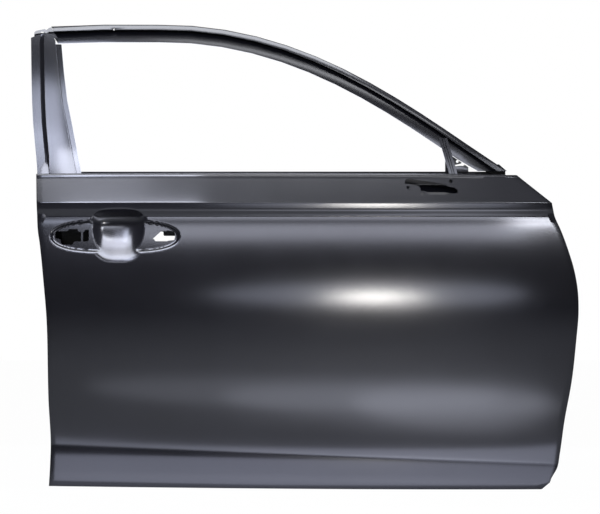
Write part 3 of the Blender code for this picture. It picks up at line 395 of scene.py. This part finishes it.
@dataclass
class SkinGrid:
    """Grid of the outer skin: its hems, belt roll and the spacing of its lines.

    Columns are (share of length, inset from the edge, depth); rows are (line, offset, depth). Rows follow
    the bottom edge, the crease, the body between, the feature line or the belt. Spacings are in millimetres
    except the body's, which is a share of its height.
    """

    shape: SkinShape
    hem_steps: int = 6
    pocket_spacing: float = 2.0
    plain_spacing: float = 9.0
    pocket_margin: float = 4.0
    front_margin: float = 2.5
    bottom_rows: tuple[float, ...] = (24.0, 34.0)
    crease_rows: tuple[float, ...] = (-14.0, -8.0, -5.0, -4.0, -2.0, 0.0, 2.0, 4.0, 8.0, 16.0, 30.0)
    body_spacing: float = 0.02
    feature_start: float = -134.0
    ridge: tuple[float, float] = (-32.0, 6.0)
    ridge_spacing: float = 1.0
    above_spacing: float = 5.0
    feature_end: float = 56.0
    belt_turn: float = 3.0
    roll_steps: int = 5
    turn_steps: int = 4
    belt_relief: int = 8
    columns: list[tuple[float, float, float]] = field(default_factory=list)
    rows: list[tuple[str, float, float]] = field(default_factory=list)

    def hem(self) -> list[tuple[float, float]]:
        """Profile of a hem from the end of its return to the open sheet.

        Returns:
            Pairs of inset from the edge and depth.
        """
        pitch = self.shape.hem_pitch
        back = [(self.shape.hem_width, 2 * pitch), (self.shape.hem_width / 2, 2 * pitch)]
        fold = [(pitch * (1 - math.sin(a)), pitch * (1 + math.cos(a))) for a in arc(0, 180, self.hem_steps)]
        return back + fold

    def lay_out(self) -> None:
        """Fill the columns and rows."""
        s = self.shape
        rear, front = float(s.rear_x_at(s.pocket_z)), float(s.front_x_at(s.pocket_z))
        length = front - rear
        reach = s.pocket_half_length + self.pocket_margin
        start, stop = (s.pocket_x - reach - rear) / length, (s.pocket_x + reach - rear) / length
        last = 1 - self.front_margin * s.corner_relief / length
        spacing = (self.pocket_spacing / length, self.plain_spacing / length)
        shares = blended_steps([(start, spacing[0]), (stop, spacing[1]), (last, spacing[1])])
        hem = self.hem()
        relief = (s.corner_relief, 0.0)
        self.columns = [(0.0, inset, depth) for inset, depth in hem + [relief]]
        self.columns += [(u, 0.0, 0.0) for u in shares]
        self.columns += [(1.0, -inset, depth) for inset, depth in reversed(hem + [relief])]
        self.rows = [("bottom", up, depth) for up, depth in hem]
        self.rows += [("bottom", up, 0.0) for up in (s.corner_relief, *self.bottom_rows)]
        self.rows += [("crease", dz, 0.0) for dz in self.crease_rows]
        body_start = self.crease_rows[-1] / (s.feature_z + self.feature_start - s.crease_nominal_z)
        body = blended_steps([(body_start, self.body_spacing), (1.0, self.body_spacing)])[1:-1]
        self.rows += [("body", share, 0.0) for share in body]
        high = blended_steps([
            (self.feature_start, self.pocket_spacing),
            (self.ridge[0], self.ridge_spacing),
            (self.ridge[1], self.above_spacing),
            (self.feature_end, self.above_spacing),
        ])
        self.rows += [("feature", dz, 0.0) for dz in high]
        self.lay_belt()

    def lay_belt(self) -> None:
        """Add the rows of the belt: its roll, its shelf and the flange turned down behind it."""
        roll, turn = self.shape.belt_roll, self.belt_turn
        inside = roll + self.shape.belt_flange
        for a in arc(10, 90, self.roll_steps):
            self.rows.append(("belt", roll * (math.sin(a) - 1), roll * (1 - math.cos(a))))
        for b in arc(0, 90, self.turn_steps):
            self.rows.append(("belt", turn * (math.cos(b) - 1), inside - turn + turn * math.sin(b)))
        self.rows.append(("belt", -self.shape.belt_drop, inside))

    def heights(self, line: str, value: float, u: np.ndarray) -> np.ndarray:
        """Heights of one row.

        Args:
            line: What the row follows.
            value: Its offset from that line.
            u: Shares of the length.

        Returns:
            Z of the row at each share.
        """
        s = self.shape
        x = s.rear_x_at(s.crease_nominal_z) * (1 - u) + s.front_x_at(s.crease_nominal_z) * u
        crease = s.crease_z(x)
        if line == "bottom":
            return s.bottom_z(u) + value
        if line == "crease":
            return crease + value
        if line == "body":
            return crease + (s.feature_z + self.feature_start - crease) * value
        if line == "feature":
            return s.feature_z + value + 0 * u
        return s.belt_edge_z(u) + value

    def points(self) -> np.ndarray:
        """Places of all grid corners.

        Returns:
            Array of rows by columns by three, in millimetres.
        """
        s = self.shape
        u = np.array([c[0] for c in self.columns])
        inset = np.array([c[1] for c in self.columns])
        fold = np.array([c[2] for c in self.columns])
        found = []
        for line, value, depth in self.rows:
            z = self.heights(line, value, u)
            slope = (s.front_x_at(z + 1) - s.front_x_at(z - 1)) / 2
            steep = np.where(u == 1.0, np.hypot(1.0, slope), 1.0)
            x = s.rear_x_at(z) * (1 - u) + s.front_x_at(z) * u + inset * steep
            if line == "belt":
                y = s.skin_y(x, s.belt_edge_z(u) - s.belt_roll) + depth + np.minimum(fold, 2 * s.hem_pitch)
            else:
                y = s.skin_y(x, z) + np.maximum(fold, depth)
            found.append(np.stack([x, y, z], axis=1))
        return np.array(found)

    def dropped(self, i: int, j: int) -> bool:
        """Whether the face at this column and row is cut away at a corner or past a hem.

        Args:
            i: Column of the face's rear side.
            j: Row of the face's lower side.

        Returns:
            True for a face that the blank doesn't have.
        """
        hems = len(self.hem())
        lines = [row[0] for row in self.rows]
        first_belt = lines.index("belt")
        last_column = len(self.columns) - 2
        side = min(i, last_column - i)
        half_fold = 2 + self.hem_steps // 2
        if side < half_fold and (j < hems or j >= first_belt - 1):
            return True
        if side < hems and (j < half_fold or j >= first_belt + self.roll_steps - 1):
            return True
        return side < hems + self.belt_relief and j >= len(lines) - self.turn_steps


def new_material(name: str) -> tuple[bpy.types.Material, bpy.types.ShaderNode]:
    """Create a node material.

    Args:
        name: The material's name.

    Returns:
        The material and its Principled BSDF node.
    """
    made = bpy.data.materials.new(name)
    made.use_nodes = True
    return made, made.node_tree.nodes["Principled BSDF"]


def add_node(material: bpy.types.Material, kind: str, **settings: object) -> bpy.types.Node:
    """Add a shader node and fill in its settings.

    Args:
        material: Where the node goes.
        kind: The node's type name.
        settings: Properties of the node, or values of its input sockets with spaces as underscores.

    Returns:
        The node.
    """
    node = material.node_tree.nodes.new(kind)
    for key, value in settings.items():
        socket = key.replace("_", " ")
        if hasattr(node, key):
            setattr(node, key, value)
        else:
            node.inputs[socket].default_value = value
    return node


def link(material: bpy.types.Material, out: bpy.types.NodeSocket, into: bpy.types.NodeSocket) -> None:
    """Join two sockets.

    Args:
        material: The material that owns the nodes.
        out: The socket that gives.
        into: The socket that takes.
    """
    material.node_tree.links.new(out, into)


@dataclass(frozen=True)
class CoatFinish:
    """Cathodic dip primer on pressed steel: satin black with a fine orange peel, sizes in millimetres."""

    name: str
    light: str = "#0f0f13"
    dark: str = "#0a0a0d"
    roughness: float = 0.17
    roughness_spread: float = 0.04
    peel_size: float = 1.6
    peel_height: float = 0.004
    peel_strength: float = 0.12
    sweep_size: float = 90.0

    def build(self) -> bpy.types.Material:
        """Make the material.

        Returns:
            The finished material.
        """
        material, shader = new_material(self.name)
        place = add_node(material, "ShaderNodeTexCoord").outputs["Object"]
        sweep = add_node(
            material, "ShaderNodeTexNoise", Scale=1000 / self.sweep_size, Detail=4.0, Roughness=0.6
        )
        link(material, place, sweep.inputs["Vector"])
        tone = add_node(material, "ShaderNodeMix", data_type="RGBA")
        tone.inputs["A"].default_value = linear(self.dark)
        tone.inputs["B"].default_value = linear(self.light)
        link(material, sweep.outputs["Fac"], tone.inputs["Factor"])
        link(material, tone.outputs["Result"], shader.inputs["Base Color"])
        roughest = self.roughness + self.roughness_spread
        spread = add_node(material, "ShaderNodeMapRange", To_Min=self.roughness, To_Max=roughest)
        link(material, sweep.outputs["Fac"], spread.inputs["Value"])
        link(material, spread.outputs["Result"], shader.inputs["Roughness"])
        peel = add_node(material, "ShaderNodeTexNoise", Scale=1000 / self.peel_size, Detail=2.0)
        link(material, place, peel.inputs["Vector"])
        bump = add_node(
            material, "ShaderNodeBump", Strength=self.peel_strength, Distance=self.peel_height * MM
        )
        link(material, peel.outputs["Fac"], bump.inputs["Height"])
        link(material, bump.outputs["Normal"], shader.inputs["Normal"])
        return material


@dataclass(frozen=True)
class PlatedFinish:
    """Dull zinc-phosphate plating of weld nuts, with its grain's size in millimetres."""

    name: str
    light: str = "#6a6c70"
    dark: str = "#55575b"
    metallic: float = 0.8
    smoothest: float = 0.35
    roughest: float = 0.55
    grain_size: float = 0.8

    def build(self) -> bpy.types.Material:
        """Make the material.

        Returns:
            The finished material.
        """
        material, shader = new_material(self.name)
        shader.inputs["Metallic"].default_value = self.metallic
        place = add_node(material, "ShaderNodeTexCoord").outputs["Object"]
        grain = add_node(material, "ShaderNodeTexNoise", Scale=1000 / self.grain_size, Detail=3.0)
        link(material, place, grain.inputs["Vector"])
        tone = add_node(material, "ShaderNodeMix", data_type="RGBA")
        tone.inputs["A"].default_value = linear(self.dark)
        tone.inputs["B"].default_value = linear(self.light)
        link(material, grain.outputs["Fac"], tone.inputs["Factor"])
        link(material, tone.outputs["Result"], shader.inputs["Base Color"])
        spread = add_node(material, "ShaderNodeMapRange", To_Min=self.smoothest, To_Max=self.roughest)
        link(material, grain.outputs["Fac"], spread.inputs["Value"])
        link(material, spread.outputs["Result"], shader.inputs["Roughness"])
        return material


def prism(name: str, outline: list[tuple[float, float]]) -> bpy.types.Object:
    """A straight-sided cutter across the door.

    Args:
        name: The object's name.
        outline: X and Z of its corners in millimetres.

    Returns:
        The cutter.
    """
    mesh = bpy.data.meshes.new(name)
    bm = bmesh.new()
    near = [bm.verts.new(Vector((x, CUTTER_Y - CUTTER_REACH, z)) * MM) for x, z in outline]
    far = [bm.verts.new(Vector((x, CUTTER_Y + CUTTER_REACH, z)) * MM) for x, z in outline]
    bm.faces.new(near)
    bm.faces.new(list(reversed(far)))
    for k in range(len(outline)):
        n = (k + 1) % len(outline)
        bm.faces.new((near[n], near[k], far[k], far[n]))
    bmesh.ops.recalc_face_normals(bm, faces=bm.faces)
    bm.to_mesh(mesh)
    bm.free()
    made = bpy.data.objects.new(name, mesh)
    bpy.context.scene.collection.objects.link(made)
    return made


def rounded(corners: tuple[tuple[float, float], ...], steps: int = 5) -> list[tuple[float, float]]:
    """An outline with each corner rounded, less so where a side is short.

    Args:
        corners: The sharp outline.
        steps: Pieces of each arc.

    Returns:
        The rounded outline.
    """
    most_of_side = 0.45
    found = []
    for k, corner in enumerate(corners):
        here = Vector(corner)
        back = Vector(corners[k - 1]) - here
        ahead = Vector(corners[(k + 1) % len(corners)]) - here
        reach = min(CORNER_RADIUS, back.length * most_of_side, ahead.length * most_of_side)
        start = here + back.normalized() * reach
        end = here + ahead.normalized() * reach
        for t in np.linspace(0, 1, steps + 1):
            found.append(tuple((1 - t) ** 2 * start + 2 * t * (1 - t) * here + t**2 * end))
    return found


def select_only(piece: bpy.types.Object) -> None:
    """Make a piece the one selected and active object.

    Args:
        piece: The piece.
    """
    bpy.ops.object.select_all(action="DESELECT")
    piece.select_set(True)
    bpy.context.view_layer.objects.active = piece


def cut_through(piece: bpy.types.Object, outlines: list[list[tuple[float, float]]]) -> None:
    """Cut openings through a piece, after any modifiers that it has.

    Args:
        piece: The piece.
        outlines: X and Z of each opening's corners in millimetres.
    """
    cutters = []
    for k, outline in enumerate(outlines):
        cutter = prism(f"{piece.name}_cutter_{k}", outline)
        boolean = piece.modifiers.new(f"cut_{k}", "BOOLEAN")
        boolean.operation = "DIFFERENCE"
        boolean.solver = "EXACT"
        boolean.object = cutter
        cutters.append(cutter)
    select_only(piece)
    for modifier in list(piece.modifiers):
        bpy.ops.object.modifier_apply(modifier=modifier.name)
    for cutter in cutters:
        bpy.data.objects.remove(cutter, do_unlink=True)


@dataclass
class OuterSkin:
    """The drawn outer panel with its hems, belt flange, handle pocket and cut-outs."""

    shape: SkinShape
    finish: bpy.types.Material
    smooth_angle: float = 34.0
    rear_handle: tuple[tuple[float, float], ...] = (
        (-1074, 57.6), (-1047.3, 57.6), (-1046.5, 61.9), (-1026.2, 61.9), (-1025.4, 56.3), (-1011.6, 56.3),
        (-1010.8, 60.6), (-1002.2, 60.6), (-1000.5, 52), (-1001, 42), (-1004, 35.3), (-1033, 35.3),
        (-1037.5, 28.6), (-1060, 28.4), (-1062, 32.3), (-1062.4, 40), (-1074, 42), (-1075, 50),
    )
    front_handle: tuple[tuple[float, float], ...] = (
        (-872.7, 53), (-860.9, 54.4), (-858.5, 58.2), (-831.8, 59.1), (-819.5, 57.2), (-817.2, 48.8),
        (-819, 38.6), (-831.6, 37.2), (-834.4, 36), (-860.3, 36), (-862, 40.6), (-872.9, 41.6),
    )
    mirror_slot: tuple[tuple[float, float], ...] = (
        (-327.4, 160), (-324, 168.5), (-317, 171.1), (-292.6, 166), (-274, 164), (-256.7, 160.8),
        (-240, 158.2), (-232, 152.5), (-219, 151), (-212, 143.5), (-214.5, 138), (-232, 137.6),
        (-239, 135.2), (-276, 135.8), (-283, 143.4), (-292.6, 143.8), (-292.9, 150.6),
        (-300, 155.5), (-316, 157.6),
    )
    holes: tuple[tuple[float, float, float], ...] = (
        (-319.2, 150.6, 4.0), (-288.9, 137.2, 4.4), (-227.3, 164, 4.4),
    )
    hole_sides: int = 24

    def build(self) -> bpy.types.Object:
        """Make the piece.

        Returns:
            The finished piece, which stands for the CAD node.
        """
        grid = SkinGrid(self.shape)
        grid.lay_out()
        points = grid.points()
        across, upright = len(grid.columns), len(grid.rows)
        bpy.ops.mesh.primitive_grid_add(x_subdivisions=across - 1, y_subdivisions=upright - 1, size=2.0)
        panel = bpy.context.object
        panel.name = "door_skin"
        mesh = panel.data
        flat = np.empty(len(mesh.vertices) * 3)
        mesh.vertices.foreach_get("co", flat)
        flat = flat.reshape(-1, 3)
        i = np.rint((flat[:, 0] + 1) / 2 * (across - 1)).astype(int)
        j = np.rint((flat[:, 1] + 1) / 2 * (upright - 1)).astype(int)
        mesh.vertices.foreach_set("co", (points[j, i] * MM).ravel())
        bm = bmesh.new()
        bm.from_mesh(mesh)
        bm.verts.ensure_lookup_table()
        gone = [
            f for f in bm.faces
            if grid.dropped(min(i[v.index] for v in f.verts), min(j[v.index] for v in f.verts))
        ]
        bmesh.ops.delete(bm, geom=gone, context="FACES")
        bm.to_mesh(mesh)
        bm.free()
        sheet = panel.modifiers.new("gauge", "SOLIDIFY")
        sheet.thickness = self.shape.gauge * MM
        sheet.offset = 0.0
        sheet.use_even_offset = False
        outlines = [rounded(corners) for corners in (self.rear_handle, self.front_handle, self.mirror_slot)]
        turn = arc(0, 360, self.hole_sides)[:-1]
        for x, z, radius in self.holes:
            outlines.append([(x + radius * math.cos(a), z + radius * math.sin(a)) for a in turn])
        cut_through(panel, outlines)
        bpy.ops.object.shade_smooth_by_angle(angle=math.radians(self.smooth_angle))
        mesh.materials.append(self.finish)
        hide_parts("outer_panel")
        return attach(panel, BODY)


@dataclass
class CarriedSheet:
    """A CAD node shown with its facets merged and its bends smoothed.

    A rail can run on along end_slope to a level cut at end_z.
    """

    node: str
    finish: bpy.types.Material
    slot: Slot = Slot.COAT
    smooth_angle: float = 32.0
    merge_within: float = 0.01
    end_z: float | None = None
    end_slope: float = -0.66
    end_reach: float = 14.0

    def build(self, nodes: dict[str, bpy.types.Object]) -> bpy.types.Object:
        """Make the piece.

        Args:
            nodes: The CAD nodes of the frame.

        Returns:
            The finished piece.
        """
        mesh = nodes[self.node].data.copy()
        mesh.name = f"{self.node}_shown"
        mesh.materials.clear()
        bm = bmesh.new()
        bm.from_mesh(mesh)
        bmesh.ops.remove_doubles(bm, verts=bm.verts, dist=self.merge_within * MM)
        if self.end_z is not None:
            self.run_on(bm)
        bm.to_mesh(mesh)
        bm.free()
        piece = bpy.data.objects.new(f"{self.node}_piece", mesh)
        bpy.context.scene.collection.objects.link(piece)
        select_only(piece)
        if mesh.has_custom_normals:
            bpy.ops.mesh.customdata_custom_splitnormals_clear()
        bpy.ops.object.shade_smooth_by_angle(angle=math.radians(self.smooth_angle))
        mesh.materials.append(self.finish)
        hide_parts(self.node)
        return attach(piece, BODY)

    def run_on(self, bm: bmesh.types.BMesh) -> None:
        """Run the rail's front end on down to a level cut.

        Args:
            bm: The piece's mesh.
        """
        along = {v: v.co.x + self.end_slope * v.co.z for v in bm.verts}
        last = max(along.values())
        for vert, place in along.items():
            if place > last - self.end_reach * MM and vert.co.z > self.end_z * MM:
                vert.co.x += (self.end_z * MM - vert.co.z) / self.end_slope
                vert.co.z = self.end_z * MM


@dataclass(frozen=True)
class Softbox:
    """A rectangular or oval studio lamp: its aim and size in metres, its angles in degrees."""

    name: str
    aim: tuple[float, float, float]
    azimuth: float
    elevation: float
    distance: float
    width: float
    height: float
    radiance: float
    colour: str = "#ffffff"
    oval: bool = False
    roll: float = 0.0

    def build(self, facing_up: bool = False) -> bpy.types.Object:
        """Make the lamp.

        Args:
            facing_up: Whether the lamp lies on the floor and shines up, instead of shining at its aim.

        Returns:
            The lamp's object.
        """
        lamp = bpy.data.lights.new(self.name, "AREA")
        lamp.shape = "ELLIPSE" if self.oval else "RECTANGLE"
        lamp.size = self.width
        lamp.size_y = self.height
        area = self.width * self.height * (math.pi / 4 if self.oval else 1.0)
        lamp.energy = self.radiance * math.pi * area
        lamp.color = linear(self.colour)[:3]
        made = bpy.data.objects.new(self.name, lamp)
        a, e = math.radians(self.azimuth), math.radians(self.elevation)
        away = Vector((math.sin(a) * math.cos(e), -math.cos(a) * math.cos(e), math.sin(e)))
        made.location = Vector(self.aim) + away * self.distance
        made.rotation_mode = "QUATERNION"
        turn = Quaternion((0, 0, 1), math.radians(self.roll))
        made.rotation_quaternion = (-away if facing_up else away).to_track_quat("Z", "Y") @ turn
        made.visible_camera = False
        bpy.context.scene.collection.objects.link(made)
        return made


@dataclass
class Studio:
    """Floor, lamps, world and camera, in metres."""

    image_width: int = 600
    pixel: float = 0.00215
    camera_distance: float = 12.0
    sensor_width: float = 36.0
    image_middle: tuple[float, float] = (-0.5504, 0.0022)
    floor_drop: float = 0.001
    floor_z: float = 0.0
    floor_size: float = 30.0
    floor_colour: str = "#b9babc"
    floor_roughness: float = 0.9
    floor_white_share: float = 0.985
    world_strength: float = 0.13

    def build(self, low: Vector, high: Vector) -> None:
        """Set the studio up round the part.

        Args:
            low: Lowest corner of the part.
            high: Highest corner of the part.
        """
        self.floor_z = low.z - self.floor_drop
        self.floor(low, high)
        self.lamps()
        self.world()
        self.camera()
        bpy.context.scene.view_settings.view_transform = "Standard"

    def floor(self, low: Vector, high: Vector) -> None:
        """Lay the pale floor, which is almost white to the camera.

        Args:
            low: Lowest corner of the part.
            high: Highest corner of the part.
        """
        middle = ((low.x + high.x) / 2, 0, self.floor_z)
        bpy.ops.mesh.primitive_plane_add(size=self.floor_size, location=middle)
        plane = bpy.context.object
        plane.name = "floor"
        material, shader = new_material("pale_floor")
        shader.inputs["Base Color"].default_value = linear(self.floor_colour)
        shader.inputs["Roughness"].default_value = self.floor_roughness
        white = add_node(material, "ShaderNodeEmission", Color=linear("#ffffff"), Strength=1.0)
        mix = add_node(material, "ShaderNodeMixShader")
        path = add_node(material, "ShaderNodeLightPath")
        share = add_node(material, "ShaderNodeMath", operation="MULTIPLY")
        share.inputs[1].default_value = self.floor_white_share
        link(material, path.outputs["Is Camera Ray"], share.inputs[0])
        link(material, share.outputs["Value"], mix.inputs["Fac"])
        link(material, shader.outputs["BSDF"], mix.inputs[1])
        link(material, white.outputs["Emission"], mix.inputs[2])
        link(material, mix.outputs["Shader"], material.node_tree.nodes["Material Output"].inputs["Surface"])
        plane.data.materials.append(material)
        plane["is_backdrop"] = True

    def lamps(self) -> None:
        """Hang the lamps round the part and lay three on the floor, as its bounced light."""
        warm, soft, clear, clean = "#fbf8f2", "#f3f6ff", "#f0f3ff", "#f6f8ff"
        cool, cooler, blue, bluer = "#e9edff", "#e4e9ff", "#dfe6ff", "#dfe4ff"
        hung = [
            Softbox(
                "front_spot", (-0.389, -0.09, -0.084), 3.8, -0.2, 1.2, 0.28, 0.080, 66.0, warm, oval=True
            ),
            Softbox(
                "front_glow", (-0.389, -0.09, -0.084), 5.0, 1.0, 1.21, 1.10, 0.21, 4.6, cooler, oval=True
            ),
            Softbox("front_bank", (-0.50, -0.09, 0.073), 3.0, 24.5, 2.5, 2.0, 0.34, 9.0, cool),
            Softbox("nose_bank", (-0.034, -0.06, 0.085), 20.0, 28.0, 2.5, 0.5, 0.22, 46.0, clear),
            Softbox("ridge_strip", (-0.40, -0.08, 0.118), 1.5, 50.0, 2.5, 1.5, 0.30, 8.0, clean),
            Softbox("top_bank", (-0.50, 0.0, 0.15), 1.0, 66.0, 2.5, 2.8, 0.8, 0.6, cool),
            Softbox("top_rear", (-1.10, 0.0, 0.15), -12.0, 66.0, 2.5, 0.40, 0.6, 4.2, cool, oval=True),
            Softbox("pillar_bank", (-1.10, 0.0, 0.33), -10.0, 38.0, 1.2, 0.24, 0.38, 14.0, blue),
            Softbox("pillar_low", (-1.10, 0.0, 0.27), -10.0, 27.0, 1.2, 0.24, 0.26, 16.0, blue),
            Softbox("scoop", (-0.94, -0.06, 0.01), 0.0, 61.0, 0.35, 0.32, 0.12, 18.0, cool),
            Softbox("overhead", (-0.94, -0.06, 0.03), 0.0, 84.0, 1.6, 1.6, 0.6, 12.0, soft),
            Softbox(
                "foot_strip", (-0.53, -0.07, -0.462), 0.0, 0.0, 0.030, 1.14, 0.074, 3.5, bluer, roll=-1.0
            ),
            Softbox("back_bank", (-0.55, 0.1, -0.05), 172.0, 16.0, 2.5, 3.0, 1.9, 2.2, cool),
        ]
        for box in hung:
            box.build()
        for name, x, y, lift, width, height, radiance in (
            ("bounce_front", -0.12, -0.48, 0.004, 0.60, 0.30, 2.6),
            ("bounce_middle", -0.30, -0.51, 0.005, 0.90, 0.28, 2.0),
            ("bounce_rear", -0.55, -0.55, 0.006, 1.10, 0.26, 1.6),
        ):
            aim = (x, y, self.floor_z)
            box = Softbox(name, aim, 0.0, 90.0, lift, width, height, radiance, cool, oval=True)
            box.build(facing_up=True)

    def world(self) -> None:
        """Fill the room: white to the camera, dim grey to the part."""
        world = bpy.data.worlds.new("studio")
        bpy.context.scene.world = world
        world.use_nodes = True
        tree = world.node_tree
        back = tree.nodes["Background"]
        back.inputs["Color"].default_value = linear("#ffffff")
        path = tree.nodes.new("ShaderNodeLightPath")
        level = tree.nodes.new("ShaderNodeMapRange")
        level.inputs["To Min"].default_value = self.world_strength
        level.inputs["To Max"].default_value = 1.0
        tree.links.new(path.outputs["Is Camera Ray"], level.inputs["Value"])
        tree.links.new(level.outputs["Result"], back.inputs["Strength"])

    def camera(self) -> None:
        """Place the camera square to the door's side, as the photo is taken."""
        data = bpy.data.cameras.new("camera")
        data.sensor_width = self.sensor_width
        data.lens = data.sensor_width * self.camera_distance / (self.image_width * self.pixel)
        data.clip_end = 100.0
        made = bpy.data.objects.new("camera", data)
        x, z = self.image_middle
        made.location = (x, -self.camera_distance, z)
        made.rotation_euler = (math.pi / 2, 0, 0)
        bpy.context.scene.collection.objects.link(made)
        bpy.context.scene.camera = made


HEADER_END_Z = 187.0
NUTS = ("upper_hinge_nut_low", "upper_hinge_nut_high", "lower_hinge_nut_low", "lower_hinge_nut_high")


def main() -> None:
    """Build the scene in order and log each piece."""
    logging.basicConfig(level=logging.INFO, format="%(name)s %(message)s")
    for obj in list(bpy.data.objects):
        bpy.data.objects.remove(obj, do_unlink=True)
    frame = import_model()
    low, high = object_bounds()
    coat = CoatFinish(Slot.COAT.value).build()
    plated = PlatedFinish(Slot.NUT.value).build()
    skin = OuterSkin(SkinShape(), coat).build()
    LOG.info("built %s", skin.name)
    for node in sorted(frame["nodes"]):
        if node == "outer_panel":
            continue
        finish, slot = (plated, Slot.NUT) if node in NUTS else (coat, Slot.COAT)
        end_z = HEADER_END_Z if node == "header_sash" else None
        piece = CarriedSheet(node, finish, slot, end_z=end_z).build(frame["nodes"])
        LOG.info("built %s", piece.name)
    Studio().build(low, high)
    low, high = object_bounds()


if __name__ == "__main__":
    main()
